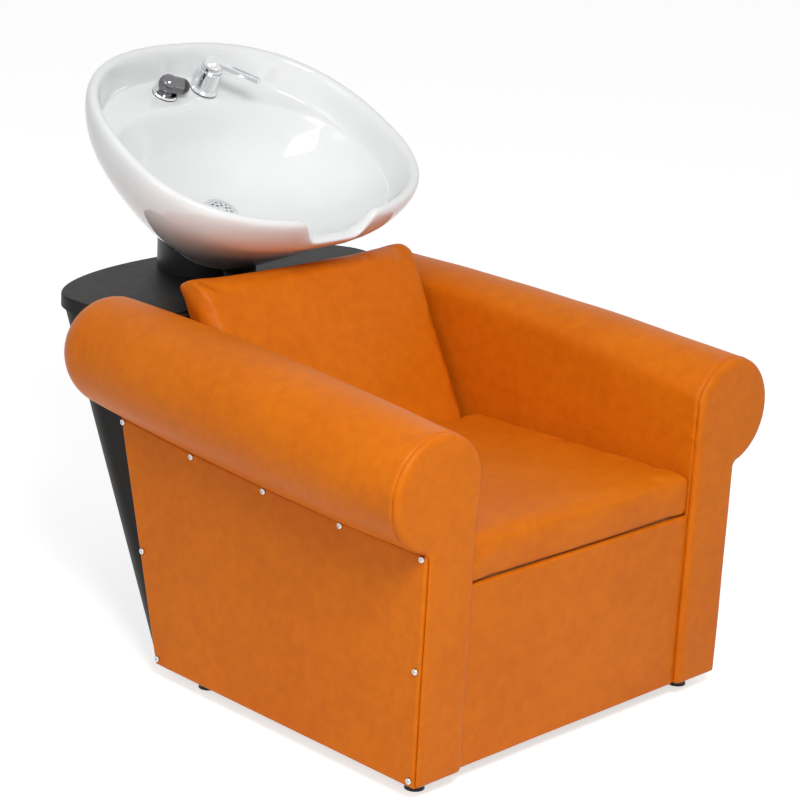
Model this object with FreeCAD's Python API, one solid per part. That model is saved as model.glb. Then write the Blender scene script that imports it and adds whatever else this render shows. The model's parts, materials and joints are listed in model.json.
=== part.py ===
import FreeCAD, Part
import math
import os
from FreeCAD import Matrix, Rotation, Vector

# Salon backwash unit: a roll-arm chair with a tilting ceramic basin on a pod behind its back.
# Millimetres. X runs across the chair, Y from the front to the back, Z up from the floor.
# The pieces are drawn with Y = 0 at the front of the arms; the export moves the origin to the
# middle of the footprint.

# Overall and seat
OVERALL_DEPTH = 1040.0
SEAT_WIDTH = 544.0
FLOOR_GAP = 25.0
FIT_GAP = 0.3
BOARD = 15.0

# Arms
ARM_THICK = 93.0
ARM_PAD = 12.0
FRONT_PAD = 8.0
ROLL_R = 92.0
ROLL_Z = 488.0
ROLL_RISE_DEG = 2.2
ROLL_TOE_IN_DEG = 1.9
ARM_OVER_SEAT = 11.0
ARM_OVER_RISE = 50.0
ARM_OVER_CLEAR = 3.0
ROLL_FLAT = 7.0
ROLL_FROM_REAR = 190.0
ROLL_EDGE = 9.0
ROLL_TAIL = 74.0
ROLL_TIP = 0.3
ROLL_SWELL = 8.0
LEG_EDGE_R = 9.0
POST_WIDTH = 42.0
RAIL_HEIGHT = 40.0
FRAME_INTO_ROLL = 20.0
ARM_FROM_REAR = 433.0
ARM_REAR_LEAN_DEG = 14.4

# Side panels and their screws
PANEL_THICK = 12.0
PANEL_FRONT_Y = 6.0
PANEL_EDGE_R = 2.0
SCREW_HEAD_R = 5.25
SCREW_HEAD_H = 3.4
SCREW_R = 2.0
SCREW_LENGTH = 32.0
SCREW_INSET = 8.0
SCREW_CLEAR = 0.05
TOP_SCREWS = 5
EDGE_SCREWS = 3

# Front panel, seat and back
FRONT_RECESS = 10.0
SEAT_FRONT_Z = 335.0
SEAT_TILT_DEG = 2.6
SEAT_PAD = 82.0
SEAT_CROWN = 8.0
SEAT_EDGE_R = 13.0
BACK_FROM_REAR = 526.0
BACK_ABOVE_SEAT = 2.0
BACK_LEAN_DEG = 28.6
BACK_PAD = 64.0
BACK_TOP_U = 322.0
BACK_BELOW_U = 88.0
BACK_TOP_R = 40.0
BACK_CROWN = 8.0
PAD_DRAW_IN = 9.0
RAIL_THICK = 24.0
BACK_RAIL_Z = 250.0
BACK_RAIL_HEIGHT = 50.0
RAIL_AHEAD_OF_BACK = 72.0

# Rear pod
SHELF_Z = 588.0
SHELF_THICK = 22.0
POD_INSET = 25.0
POD_ROUND = 164.0
POD_LEAN_DEG = 25.4
SHELL_THICK = 10.0
POD_ROLL_GAP = 3.0
POD_BASE_THICK = 18.0
POD_BEHIND_BACK = 28.0
SERVICE_WIDTH = 240.0
SERVICE_DEPTH = 90.0
SERVICE_FROM_REAR = 45.0

# Feet
FOOT_R = 16.0
FOOT_TAPER = 3.0
FOOT_FRONT_Y = 45.0
FOOT_AHEAD_OF_ARM_REAR = 82.0
FOOT_FROM_REAR = 350.0
FOOT_REAR_X = 190.0

# Basin tilt: the rest pose is the forward stop
BASIN_TILT_DEG = 27.0
PIVOT_FROM_REAR = 110.0
PIVOT_ABOVE_SHELF = 34.0
COLLAR_R = 86.0
COLLAR_WALL = 4.0
COLLAR_FRONT_H = 27.0
COLLAR_REAR_H = 66.0
COLLAR_LIP = 3.0
PLATE = 5.0
PLATE_HOLE_R = 55.0
SHELF_HOLE_R = 60.0
PLATE_SCREWS = 4
PLATE_SCREW_PCD = 136.0
EAR_X = 50.0
EAR = 5.0
EAR_R = 14.0
WASHER = 1.9
WASHER_R = 13.0
PIN_R = 6.0
PIN_CLEAR = 0.05
PIN_HEAD_R = 10.0
PIN_HEAD_H = 5.0
PIN_NUT_FLATS = 18.0
PIN_NUT_H = 8.0
BUFFER_R = 8.0
BUFFER_X = 28.0

# Basin, in its own frame: x across, y along the rim to the back, z square to the rim plane
RIM_HALF_WIDTH = 305.0
RIM_REAR = 208.0
RIM_FRONT = -309.0
RIM_WAIST = -76.0
RIM_EDGE = 8.0
RIM_LAND = 18.0
DECK_Z = -60.0
DECK_WALL = 14.0
FLOOR_Z = -184.0
FLOOR_WALL = 16.0
FOOT_RING_Z = -239.0
FOOT_RING_R = 96.0
FOOT_RING_WALL = 12.0
DRAIN_Y = -50.0
NOTCH_HALF_WIDTH = 78.0
NOTCH_FLOOR_HALF = 60.0
NOTCH_DEPTH = 42.0
NOTCH_R = 30.0
PIVOT_LOCAL_Y = -50.0
PIVOT_LOCAL_Z = -267.0
FITTING_X = 47.0
SHOWER_X = -43.0
FITTING_Y = 137.0
POCKET_HALF_WIDTH = 95.0
POCKET_FRONT = 108.0
POCKET_REAR = 166.0

# Cradle and skirt under the basin
GASKET = 2.0
CRADLE = 4.0
CRADLE_R = 80.0
CRADLE_HOLE_R = 42.0
CRADLE_BOLTS = 4
CRADLE_PCD = 118.0
BOLT_R = 4.0
BOLT_LENGTH = 14.0
BOLT_HEAD_FLATS = 13.0
BOLT_HEAD_H = 5.0
SKIRT_R = 68.0
SKIRT_WALL = 3.0
SKIRT_FRONT_Z = -225.0
SKIRT_REAR_Z = -255.0

# Waste
WASTE_FLANGE_R = 35.0
WASTE_FLANGE_H = 3.0
WASTE_TUBE_R = 21.5
WASTE_BORE_R = 19.0
WASTE_CLEAR = 0.4
WASTE_TUBE_END = -222.0
STRAINER_R = 27.0
STRAINER_DOME = 5.0
STRAINER_THICK = 1.6
STRAINER_HOLES = 12
STRAINER_HOLE_R = 2.4
BACKNUT_FLATS = 58.0
BACKNUT_H = 9.0
TAIL_R = 16.0
TAIL_NECK_R = 15.2
TAIL_NECK_END = -239.0
TAIL_BORE_R = 14.0
TAIL_END = -325.0
COUPLING_R = 26.0

# Mixer, along its own axis from the deck
MIXER_R = 22.0
MIXER_FLANGE_R = 25.0
MIXER_TOP = 45.0
SEAL = 2.0
SHANK_R = 14.0
SHANK_LENGTH = 42.0
HOLE_CLEAR = 1.0
INLET_R = 4.5
INLET_SPACING = 13.0
INLET_DEPTH = 18.0
CARTRIDGE_R = 15.0
CARTRIDGE_FLOOR = 8.0
CARTRIDGE_BELOW_BALL = 16.0
BALL_ABOVE_BODY = 6.0
LEVER_PIVOT = MIXER_TOP + BALL_ABOVE_BODY
CARTRIDGE_TOP = LEVER_PIVOT - CARTRIDGE_BELOW_BALL
BALL_R = 20.0
BALL_WALL = 3.0
BALL_GAP = 0.4
BALL_CUT = 6.0
STEM_R = 5.0
STEM_FLOOR = 12.0
TONGUE = 6.0
LEVER_PIN_R = 2.0
LEVER_REACH = 88.0
LEVER_WIDTH = 20.0
LEVER_TIP_WIDTH = 15.0
LEVER_THICK = 7.0
LEVER_ABOVE = 8.0
LEVER_SLOT_WIDTH = 7.0
LEVER_SLOT_START = 36.0
LEVER_TURN_DEG = 39.0
SHANK_NUT_FLATS = 36.0
SHANK_NUT_H = 9.0

# Hand shower
BUSH_R = 23.0
BUSH_FLANGE_H = 3.0
BUSH_SLEEVE_R = 14.0
BUSH_LENGTH = 34.0
BUSH_BORE_R = 10.0
HANDSET_STEM_R = 9.7
HANDSET_STEM = 30.0
HANDSET_R = 18.0
HANDSET_RISE = 16.5
HANDSET_SHOULDER_R = 13.0
FACE_R = 15.0
FACE_REACH = 40.0
HANDSET_TURN_DEG = 68.0

# Worked out from the above
SEAT_HALF = SEAT_WIDTH / 2.0
ARM_OUTER = SEAT_HALF + ARM_THICK
FRAME_IN = SEAT_HALF + ARM_PAD
FRAME_OUT = ARM_OUTER - PANEL_THICK
ROLL_LENGTH = OVERALL_DEPTH - ROLL_FROM_REAR
WALL_IN = SEAT_HALF - ARM_OVER_SEAT
ROLL_X = WALL_IN + ROLL_R - ROLL_FLAT
ROLL_TOE = math.tan(math.radians(ROLL_TOE_IN_DEG))
ROLL_SLOPE = math.tan(math.radians(ROLL_RISE_DEG))
REAR_SLOPE = math.tan(math.radians(ARM_REAR_LEAN_DEG))
SEAT_SLOPE = math.tan(math.radians(SEAT_TILT_DEG))
POD_SLOPE = math.tan(math.radians(POD_LEAN_DEG))
FRAME_TOP = ROLL_Z - FRAME_INTO_ROLL
ARM_REAR_Y = OVERALL_DEPTH - ARM_FROM_REAR
BACK_FOOT_Y = OVERALL_DEPTH - BACK_FROM_REAR
BACK_FOOT_Z = SEAT_FRONT_Z - BACK_FOOT_Y * SEAT_SLOPE + SEAT_PAD - SEAT_CROWN + BACK_ABOVE_SEAT
REAR_RAIL_Y = BACK_FOOT_Y - RAIL_AHEAD_OF_BACK
POD_HALF = ARM_OUTER - POD_INSET
POD_ROUND_Y = OVERALL_DEPTH - POD_ROUND
SHELF_UNDER = SHELF_Z - SHELF_THICK
POD_FRONT_Y = BACK_FOOT_Y + POD_BEHIND_BACK
FOOT_MID_Y = ARM_REAR_Y - FOOT_AHEAD_OF_ARM_REAR
FOOT_REAR_Y = OVERALL_DEPTH - FOOT_FROM_REAR
PIVOT_Y = OVERALL_DEPTH - PIVOT_FROM_REAR
PIVOT_Z = SHELF_Z + PIVOT_ABOVE_SHELF
PLATE_Z = SHELF_Z + COLLAR_LIP
FLOOR_UNDER = FLOOR_Z - FLOOR_WALL
CRADLE_TOP = FLOOR_UNDER - GASKET
CRADLE_Z = CRADLE_TOP - CRADLE
SIDES = (("left", -1.0), ("right", 1.0))

pieces = {}


def keep(name, shape):
    pieces[name] = shape


def box(x0, x1, y0, y1, z0, z1):
    return Part.makeBox(x1 - x0, y1 - y0, z1 - z0, Vector(x0, y0, z0))


def cylinder(x, y, z0, z1, r):
    return Part.makeCylinder(r, z1 - z0, Vector(x, y, z0))


def rod_x(x0, x1, y, z, r):
    return Part.makeCylinder(r, x1 - x0, Vector(x0, y, z), Vector(1, 0, 0))


def ring(x, y, z0, z1, outer, inner):
    return cylinder(x, y, z0, z1, outer).cut(cylinder(x, y, z0 - 1, z1 + 1, inner))


def polygon(points):
    return Part.makePolygon(points + [points[0]])


def prism_x(outline, x0, x1):
    # outline: (y, z) corners, pushed along X
    wire = polygon([Vector(x0, y, z) for y, z in outline])
    return Part.Face(wire).extrude(Vector(x1 - x0, 0, 0))


def hexagon(x, y, z0, z1, flats, bore):
    corner = flats / 2.0 / math.cos(math.pi / 6)
    points = []
    for i in range(6):
        a = i * math.pi / 3
        points.append(Vector(x + corner * math.cos(a), y + corner * math.sin(a), z0))
    nut = Part.Face(polygon(points)).extrude(Vector(0, 0, z1 - z0))
    return nut.cut(cylinder(x, y, z0 - 1, z1 + 1, bore))


def revolve_z(outline, x=0.0, y=0.0):
    # outline: (radius, z) corners, turned about the Z line through x, y
    wire = polygon([Vector(x + r, y, z) for r, z in outline])
    return Part.Face(wire).revolve(Vector(x, y, 0), Vector(0, 0, 1), 360)


def both_sides(x_shape, side):
    # a piece drawn on the +X side, or its mirror image
    if side > 0:
        return x_shape
    return x_shape.mirror(Vector(0, 0, 0), Vector(1, 0, 0))


def soft_wire(corners, radii, swells, to_point):
    # Rounded outline of lines and arcs: each corner has a radius, and each side from a corner to
    # the next may swell outward. to_point turns flat coordinates into a point of the section.
    count = len(corners)
    starts = []
    ends = []
    mids = []
    for i in range(count):
        here = Vector(corners[i][0], corners[i][1], 0)
        back = Vector(corners[i - 1][0], corners[i - 1][1], 0) - here
        ahead = Vector(corners[(i + 1) % count][0], corners[(i + 1) % count][1], 0) - here
        back.normalize()
        ahead.normalize()
        half = math.acos(max(-1.0, min(1.0, back.dot(ahead)))) / 2.0
        reach = radii[i] / math.tan(half)
        inward = back + ahead
        inward.normalize()
        centre = here + inward * (radii[i] / math.sin(half))
        starts.append(here + back * reach)
        ends.append(here + ahead * reach)
        mids.append(centre - inward * radii[i])
    edges = []
    for i in range(count):
        a, m, b = (to_point(p.x, p.y) for p in (starts[i], mids[i], ends[i]))
        edges.append(Part.Arc(a, m, b).toShape())
        c = starts[(i + 1) % count]
        if swells[i]:
            along = c - ends[i]
            outward = Vector(along.y, -along.x, 0)
            outward.normalize()
            middle = (ends[i] + c) * 0.5 + outward * swells[i]
            edges.append(Part.Arc(b, to_point(middle.x, middle.y), to_point(c.x, c.y)).toShape())
        else:
            edges.append(Part.LineSegment(b, to_point(c.x, c.y)).toShape())
    return Part.Wire(edges)


def inset_corners(corners, inset):
    # every side of the outline moved inward by the same distance
    moved = []
    for i in range(len(corners)):
        here = Vector(corners[i][0], corners[i][1], 0)
        back = Vector(corners[i - 1][0], corners[i - 1][1], 0) - here
        ahead = Vector(corners[(i + 1) % len(corners)][0], corners[(i + 1) % len(corners)][1], 0) - here
        back.normalize()
        ahead.normalize()
        inward = back + ahead
        inward.normalize()
        half = math.acos(max(-1.0, min(1.0, back.dot(ahead)))) / 2.0
        there = here + inward * (inset / math.sin(half))
        moved.append((there.x, there.y))
    return moved


def pad_across(corners, radii, swells, half_width):
    # A pad across the chair: a crowned middle between two ends that are drawn in all round.
    length = 1.6 * PAD_DRAW_IN
    ends = []
    for i in range(4):
        turn = math.radians(30.0 * i)
        reach = half_width - length + length * math.sin(turn)
        ends.append((reach, PAD_DRAW_IN * (1 - math.cos(turn)), 0.5 - 0.2 * math.sin(turn)))
    start, inset, share = ends[0]
    middle = [(-start, inset, share), (0.0, 0.0, 1.0), (start, inset, share)]
    lofts = []
    for stations in ([(-x, d, c) for x, d, c in reversed(ends)], middle, ends):
        wires = []
        for x, draw, crown in stations:
            tight = [max(r - draw, 3.0) for r in radii]
            sides = [s * crown for s in swells]
            wires.append(soft_wire(inset_corners(corners, draw), tight, sides, lambda y, z, x=x: Vector(x, y, z)))
        lofts.append(Part.makeLoft(wires, True, False))
    return lofts[0].fuse(lofts[1:]).removeSplitter()


def roll_x(y):
    return ROLL_X - y * ROLL_TOE


def roll_z(y):
    return ROLL_Z + y * ROLL_SLOPE


def roll_r(y):
    # the padding swells between the front and the start of the tail
    share = y / (ROLL_LENGTH - ROLL_TAIL)
    return ROLL_R + ROLL_SWELL * 4 * share * (1 - share)


def arm_rear(z):
    return ARM_REAR_Y + (z - FLOOR_GAP) * REAR_SLOPE


def roll_ring(y, r):
    centre = Vector(roll_x(y), y, roll_z(y))
    edges = []
    for quarter in range(4):
        marks = []
        for step in range(3):
            a = (quarter + step / 2.0) * math.pi / 2
            marks.append(centre + Vector(r * math.cos(a), 0, r * math.sin(a)))
        edges.append(Part.Arc(*marks).toShape())
    return Part.Wire(edges)


def arm_roll(grow=0.0):
    # rounded front edge, long swelled middle and rounded tail; grow makes the room it needs
    tail = ROLL_LENGTH - ROLL_TAIL + grow
    front = []
    rear = []
    for i in range(4):
        turn = math.radians(30.0 * i)
        front.append((ROLL_EDGE * (1 - math.cos(turn)), ROLL_R - ROLL_EDGE * (1 - math.sin(turn))))
        rear.append((tail + ROLL_TAIL * math.sin(turn), ROLL_R * (ROLL_TIP + (1 - ROLL_TIP) * math.cos(turn))))
    middle = [front[-1], (tail / 2, ROLL_R + ROLL_SWELL), rear[0]]
    lofts = []
    for sections in (front, middle, rear):
        lofts.append(Part.makeLoft([roll_ring(y, r + grow) for y, r in sections], True, False))
    roll = lofts[0].fuse(lofts[1:]).removeSplitter()
    return roll.cut(box(-2 * ROLL_X, WALL_IN - grow, -ROLL_R, 2 * ROLL_LENGTH, 0.0, 2 * roll_z(ROLL_LENGTH)))


def rolls(grow):
    # room that both rolls need in the pieces between and behind them
    room = arm_roll(grow)
    return Part.makeCompound([both_sides(room, side) for name, side in SIDES])


def leg_outline(front, z0, z1):
    return [(front, z0), (arm_rear(z0), z0), (arm_rear(z1), z1), (front, z1)]


def inner_wall():
    # the arm's flat inner face, from the roll down to just above the seat's edge
    low = SEAT_FRONT_Z + SEAT_PAD - SEAT_CROWN + ARM_OVER_CLEAR
    high = ROLL_Z + math.sqrt(ROLL_R ** 2 - (ROLL_R - ROLL_FLAT) ** 2)
    profile = [
        (WALL_IN, high),
        (WALL_IN, low + ARM_OVER_RISE),
        (SEAT_HALF, low),
        (ROLL_X, low),
        (ROLL_X, high),
    ]
    face = Part.Face(polygon([Vector(x, 0, z) for x, z in profile]))
    wall = face.extrude(Vector(0, arm_rear(low), 0))
    edges = [e for e in wall.Edges if all(abs(v.Y) < 1e-6 and v.X < SEAT_HALF + 1e-6 for v in e.Vertexes)]
    return wall.makeFillet(LEG_EDGE_R, edges)


def arm_pad():
    leg = prism_x(leg_outline(0.0, FLOOR_GAP, ROLL_Z), SEAT_HALF, ARM_OUTER)
    front = [e for e in leg.Edges if all(abs(v.Y) < 1e-6 for v in e.Vertexes)]
    upright = [e for e in front if abs(e.Vertexes[0].Z - e.Vertexes[1].Z) > 1.0]
    leg = leg.makeFillet(LEG_EDGE_R, upright)
    recess = prism_x(leg_outline(PANEL_FRONT_Y - FIT_GAP, FLOOR_GAP - 1, ROLL_Z + 1), FRAME_OUT, ARM_OUTER + 1)
    arm = arm_roll().fuse([leg.cut(recess), inner_wall()]).removeSplitter()
    hollow = prism_x(leg_outline(FRONT_PAD, FLOOR_GAP - 1, FRAME_TOP), FRAME_IN, FRAME_OUT)
    bare_front = FRONT_RECESS + PANEL_THICK
    bare_rear = 2 * ARM_REAR_Y
    bare = prism_x([
        (bare_front, FLOOR_GAP - 1),
        (bare_rear, FLOOR_GAP - 1),
        (bare_rear, seat_under(bare_rear) - BOARD),
        (bare_front, seat_under(bare_front) - BOARD),
    ], SEAT_HALF - 1, FRAME_IN + 1)
    return arm.cut(hollow).cut(bare)


def panel_top(y):
    # the panel runs up to the underside of the roll
    side = ARM_OUTER - roll_x(y)
    return roll_z(y) - math.sqrt(roll_r(y) ** 2 - side ** 2) - FIT_GAP


def arm_frame():
    x0 = FRAME_IN + FIT_GAP
    x1 = FRAME_OUT
    z1 = FRAME_TOP - FIT_GAP
    y0 = FRONT_PAD + FIT_GAP
    y1 = y0 + POST_WIDTH
    rail_z = panel_top(0.0) - RAIL_HEIGHT
    front = box(x0, x1, y0, y1, FLOOR_GAP, z1)
    rear_face = [(arm_rear(z), z) for z in (FLOOR_GAP, z1)]
    rear = prism_x([(y - POST_WIDTH, z) for y, z in rear_face] + rear_face[::-1], x0, x1)
    low = [FLOOR_GAP, FLOOR_GAP + RAIL_HEIGHT]
    high = [rail_z, z1]
    rails = []
    for a, b in (low, high):
        outline = [(y1, a), (arm_rear(a) - POST_WIDTH, a), (arm_rear(b) - POST_WIDTH, b), (y1, b)]
        rails.append(prism_x(outline, x0, x1))
    boards = [front, rear] + rails
    holes = [rod_x(ARM_OUTER - SCREW_LENGTH - 1, ARM_OUTER, y, z, SCREW_R + SCREW_CLEAR) for y, z in screw_places()]
    bored = [b.cut(Part.makeCompound(holes)) for b in boards]
    return Part.makeCompound(bored)


def screw_places():
    # along the top edge, then down the front and rear edges
    front = PANEL_FRONT_Y + SCREW_INSET
    rear_top = arm_rear(panel_top(arm_rear(ROLL_Z))) - SCREW_INSET
    places = []
    for i in range(TOP_SCREWS):
        y = front + (rear_top - front) * i / (TOP_SCREWS - 1)
        places.append((y, panel_top(y) - SCREW_INSET))
    for i in range(EDGE_SCREWS - 1):
        share = i / (EDGE_SCREWS - 1)
        low = FLOOR_GAP + SCREW_INSET + 3.0
        z = low + (places[0][1] - low) * share
        places.append((front, z))
        places.append((arm_rear(z) - SCREW_INSET, z))
    return places


def side_panel():
    bottom = FLOOR_GAP
    outline = leg_outline(PANEL_FRONT_Y, bottom, ROLL_Z)
    panel = prism_x(outline, FRAME_OUT, ARM_OUTER)
    outer = [e for e in panel.Edges if all(abs(v.X - ARM_OUTER) < 1e-6 for v in e.Vertexes)]
    panel = panel.makeFillet(PANEL_EDGE_R, outer).cut(arm_roll(FIT_GAP))
    holes = [rod_x(FRAME_OUT - 1, ARM_OUTER + 1, y, z, SCREW_R + SCREW_CLEAR) for y, z in screw_places()]
    return panel.cut(Part.makeCompound(holes))


def pan_screw(y, z):
    # domed head on the panel's face, shank along X into the frame
    turned = revolve_z([
        (0.0, -SCREW_LENGTH),
        (SCREW_R, -SCREW_LENGTH),
        (SCREW_R, 0.0),
        (SCREW_HEAD_R, 0.0),
        (SCREW_HEAD_R, 0.35 * SCREW_HEAD_H),
        (0.82 * SCREW_HEAD_R, 0.72 * SCREW_HEAD_H),
        (0.45 * SCREW_HEAD_R, 0.95 * SCREW_HEAD_H),
        (0.0, SCREW_HEAD_H),
    ])
    turned.Placement = FreeCAD.Placement(Vector(ARM_OUTER, y, z), Rotation(Vector(0, 1, 0), 90))
    return turned


def arms():
    pad = arm_pad()
    frame = arm_frame()
    panel = side_panel()
    screws = Part.makeCompound([pan_screw(y, z) for y, z in screw_places()])
    for name, side in SIDES:
        keep("arm_pad_" + name, both_sides(pad, side))
        keep("arm_frame_" + name, both_sides(frame, side))
        keep("side_panel_" + name, both_sides(panel, side))
        keep("panel_screws_" + name, both_sides(screws, side))


def seat_under(y):
    return SEAT_FRONT_Z - y * SEAT_SLOPE


def back_point(u, w):
    # u up the back's face, w square to it towards the rear
    lean = math.radians(BACK_LEAN_DEG)
    y = BACK_FOOT_Y + u * math.sin(lean) + w * math.cos(lean)
    z = BACK_FOOT_Z + u * math.cos(lean) - w * math.sin(lean)
    return y, z


def back_face_y(z, w):
    # where a plane w behind the back's face reaches a height
    lean = math.radians(BACK_LEAN_DEG)
    u = (z - BACK_FOOT_Z + w * math.sin(lean)) / math.cos(lean)
    return back_point(u, w)[0]


def seat_rear(height, clear):
    # where a line above the seat's underside meets the back, less a clearance
    y = BACK_FOOT_Y
    for i in range(6):
        y = back_face_y(seat_under(y) + height, -clear)
    return y, seat_under(y) + height


def seat_and_back():
    half = SEAT_HALF - FIT_GAP
    top = SEAT_PAD - SEAT_CROWN
    corners = [
        (0.0, SEAT_FRONT_Z),
        seat_rear(0.0, 0.3 * BACK_CROWN + FIT_GAP),
        seat_rear(top, 0.7 * BACK_CROWN + FIT_GAP),
        (0.0, SEAT_FRONT_Z + top),
    ]
    cushion = pad_across(corners, [6.0, 6.0, 8.0, SEAT_EDGE_R], [0.0, 0.0, SEAT_CROWN, 2.0], half)
    keep("seat_cushion", cushion)
    board_front = FRONT_RECESS + PANEL_THICK
    board_rear = seat_rear(-BOARD, FIT_GAP)[0]
    gap = FIT_GAP
    seat_board = [
        (board_front, seat_under(board_front) - gap),
        (board_front, seat_under(board_front) - gap - BOARD),
        (board_rear, seat_under(board_rear) - gap - BOARD),
        (board_rear, seat_under(board_rear) - gap),
    ]
    keep("seat_board", prism_x(seat_board, -half, half))

    front_panel = box(-half, half, FRONT_RECESS, board_front - FIT_GAP, FLOOR_GAP, SEAT_FRONT_Z - 2.0)
    face_edges = [e for e in front_panel.Edges if all(abs(v.Y - FRONT_RECESS) < 1e-6 for v in e.Vertexes)]
    keep("front_panel", front_panel.makeFillet(PANEL_EDGE_R, face_edges))

    pad = [back_point(-BACK_BELOW_U, 0), back_point(-BACK_BELOW_U, BACK_PAD)]
    pad = pad + [back_point(BACK_TOP_U, BACK_PAD), back_point(BACK_TOP_U, 0)]
    between = WALL_IN - FIT_GAP
    keep("back_cushion", pad_across(pad, [6.0, 6.0, 12.0, BACK_TOP_R], [0.0, 0.0, 0.0, BACK_CROWN], between))
    low = BACK_RAIL_Z
    board = [
        (back_face_y(low, BACK_PAD + gap), low),
        (back_face_y(low, BACK_PAD + gap + BOARD), low),
        (back_face_y(SHELF_Z - 2.0, BACK_PAD + gap + BOARD), SHELF_Z - 2.0),
        (back_face_y(SHELF_Z - 2.0, BACK_PAD + gap), SHELF_Z - 2.0),
    ]
    keep("back_board", prism_x(board, -between, between))


def cross_rails():
    # front top and bottom rails, seat rear rail, back rail
    reach = FRAME_IN + FIT_GAP
    y0 = FRONT_RECESS + PANEL_THICK
    y1 = y0 + RAIL_THICK
    under = seat_under(y1) - FIT_GAP - BOARD
    rear_under = seat_under(REAR_RAIL_Y + RAIL_THICK) - FIT_GAP - BOARD
    back_y = back_face_y(BACK_RAIL_Z, BACK_PAD + BOARD / 2)
    rails = [
        box(-reach, reach, y0, y1, FLOOR_GAP, FLOOR_GAP + RAIL_HEIGHT),
        box(-reach, reach, y0, y1, under - RAIL_HEIGHT, under),
        box(-reach, reach, REAR_RAIL_Y, REAR_RAIL_Y + RAIL_THICK, rear_under - RAIL_HEIGHT, rear_under),
        box(-reach, reach, back_y - RAIL_THICK / 2, back_y + RAIL_THICK / 2, BACK_RAIL_Z - BACK_RAIL_HEIGHT, BACK_RAIL_Z),
    ]
    keep("cross_rails", Part.makeCompound(rails))


def pod_outline(inset, shift, z, front_y):
    # the pod's rounded plan: straight sides, then half an ellipse at the back
    half = POD_HALF - inset
    deep = POD_ROUND - inset
    centre = POD_ROUND_Y + shift
    arc = Part.Ellipse(Vector(0, centre, z), half, deep) if half >= deep else None
    round_end = Part.ArcOfEllipse(arc, 0, math.pi).toShape()
    right = Vector(half, centre, z)
    left = Vector(-half, centre, z)
    edges = [
        Part.LineSegment(Vector(half, front_y, z), right).toShape(),
        round_end,
        Part.LineSegment(left, Vector(-half, front_y, z)).toShape(),
        Part.LineSegment(Vector(-half, front_y, z), Vector(half, front_y, z)).toShape(),
    ]
    return Part.Face(Part.Wire(edges))


def pod():
    drop = SHELF_UNDER - FLOOR_GAP
    shift = -SHELF_THICK * POD_SLOPE
    lean = Vector(0, -drop * POD_SLOPE, -drop)
    deep_front = BACK_FOOT_Y
    outer = pod_outline(0.0, shift, SHELF_UNDER, deep_front).extrude(lean)
    inner = pod_outline(SHELL_THICK, shift, SHELF_UNDER, deep_front - SHELL_THICK).extrude(lean)
    shell = outer.cut(inner)
    ahead = [
        (-OVERALL_DEPTH, FLOOR_GAP - 1),
        (arm_rear(FLOOR_GAP - 1) + FIT_GAP, FLOOR_GAP - 1),
        (arm_rear(SHELF_Z) + FIT_GAP, SHELF_Z),
        (-OVERALL_DEPTH, SHELF_Z),
    ]
    shell = shell.cut(prism_x(ahead, -2 * POD_HALF, 2 * POD_HALF))
    keep("rear_shell", shell.cut(rolls(POD_ROLL_GAP)))

    shelf = pod_outline(0.0, 0.0, SHELF_UNDER, BACK_FOOT_Y).extrude(Vector(0, 0, SHELF_THICK))
    behind = BACK_PAD + 2 * FIT_GAP + BOARD
    ahead = prism_x([
        (0.0, SHELF_UNDER - 1),
        (back_face_y(SHELF_UNDER - 1, behind), SHELF_UNDER - 1),
        (back_face_y(SHELF_Z + 1, behind), SHELF_Z + 1),
        (0.0, SHELF_Z + 1),
    ], -ARM_OUTER, ARM_OUTER)
    shelf = shelf.cut(ahead)
    top_round = [e for e in shelf.Edges if e.BoundBox.ZMin > SHELF_Z - 1e-6 and e.BoundBox.YMax > OVERALL_DEPTH - 1]
    shelf = shelf.makeFillet(4.0, top_round).cut(rolls(POD_ROLL_GAP))
    shelf = shelf.cut(cylinder(0, PIVOT_Y, SHELF_UNDER - 1, SHELF_Z + 1, SHELF_HOLE_R))
    keep("shelf", shelf.cut(plate_screw_holes(SHELF_UNDER - 1, SHELF_Z + 1)))

    base_drop = POD_BASE_THICK
    foot_shift = shift - (drop - base_drop) * POD_SLOPE
    slab = Vector(0, -base_drop * POD_SLOPE, -base_drop)
    level = FLOOR_GAP + base_drop
    base = pod_outline(SHELL_THICK + FIT_GAP, foot_shift, level, POD_FRONT_Y).extrude(slab)
    rear = POD_ROUND_Y + POD_ROUND + foot_shift - slab.Length
    clear_x = FRAME_IN + FIT_GAP
    for side in (-1.0, 1.0):
        beside = sorted((side * clear_x, side * 2 * POD_HALF))
        base = base.cut(box(beside[0], beside[1], 0, arm_rear(level) + FIT_GAP, FLOOR_GAP - 1, level + 1))
    end = rear - SERVICE_FROM_REAR
    service = box(-SERVICE_WIDTH / 2, SERVICE_WIDTH / 2, end - SERVICE_DEPTH, end, FLOOR_GAP - 1, level + 1)
    keep("pod_base", base.cut(service))


def feet():
    mid_x = (FRAME_IN + FRAME_OUT) / 2.0
    places = (("front", mid_x, FOOT_FRONT_Y), ("mid", mid_x, FOOT_MID_Y), ("rear", FOOT_REAR_X, FOOT_REAR_Y))
    for row, x, y in places:
        for name, side in SIDES:
            glide = Part.makeCone(FOOT_R, FOOT_R - FOOT_TAPER, FLOOR_GAP, Vector(side * x, y, 0))
            keep("foot_%s_%s" % (row, name), glide)


def plate_screw_places():
    r = PLATE_SCREW_PCD / 2.0
    return [
        (r * math.cos(a), PIVOT_Y + r * math.sin(a))
        for a in [(i + 0.5) * 2 * math.pi / PLATE_SCREWS for i in range(PLATE_SCREWS)]
    ]


def plate_screw_holes(z0, z1):
    return Part.makeCompound([cylinder(x, y, z0, z1, BOLT_R + SCREW_CLEAR) for x, y in plate_screw_places()])


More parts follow.
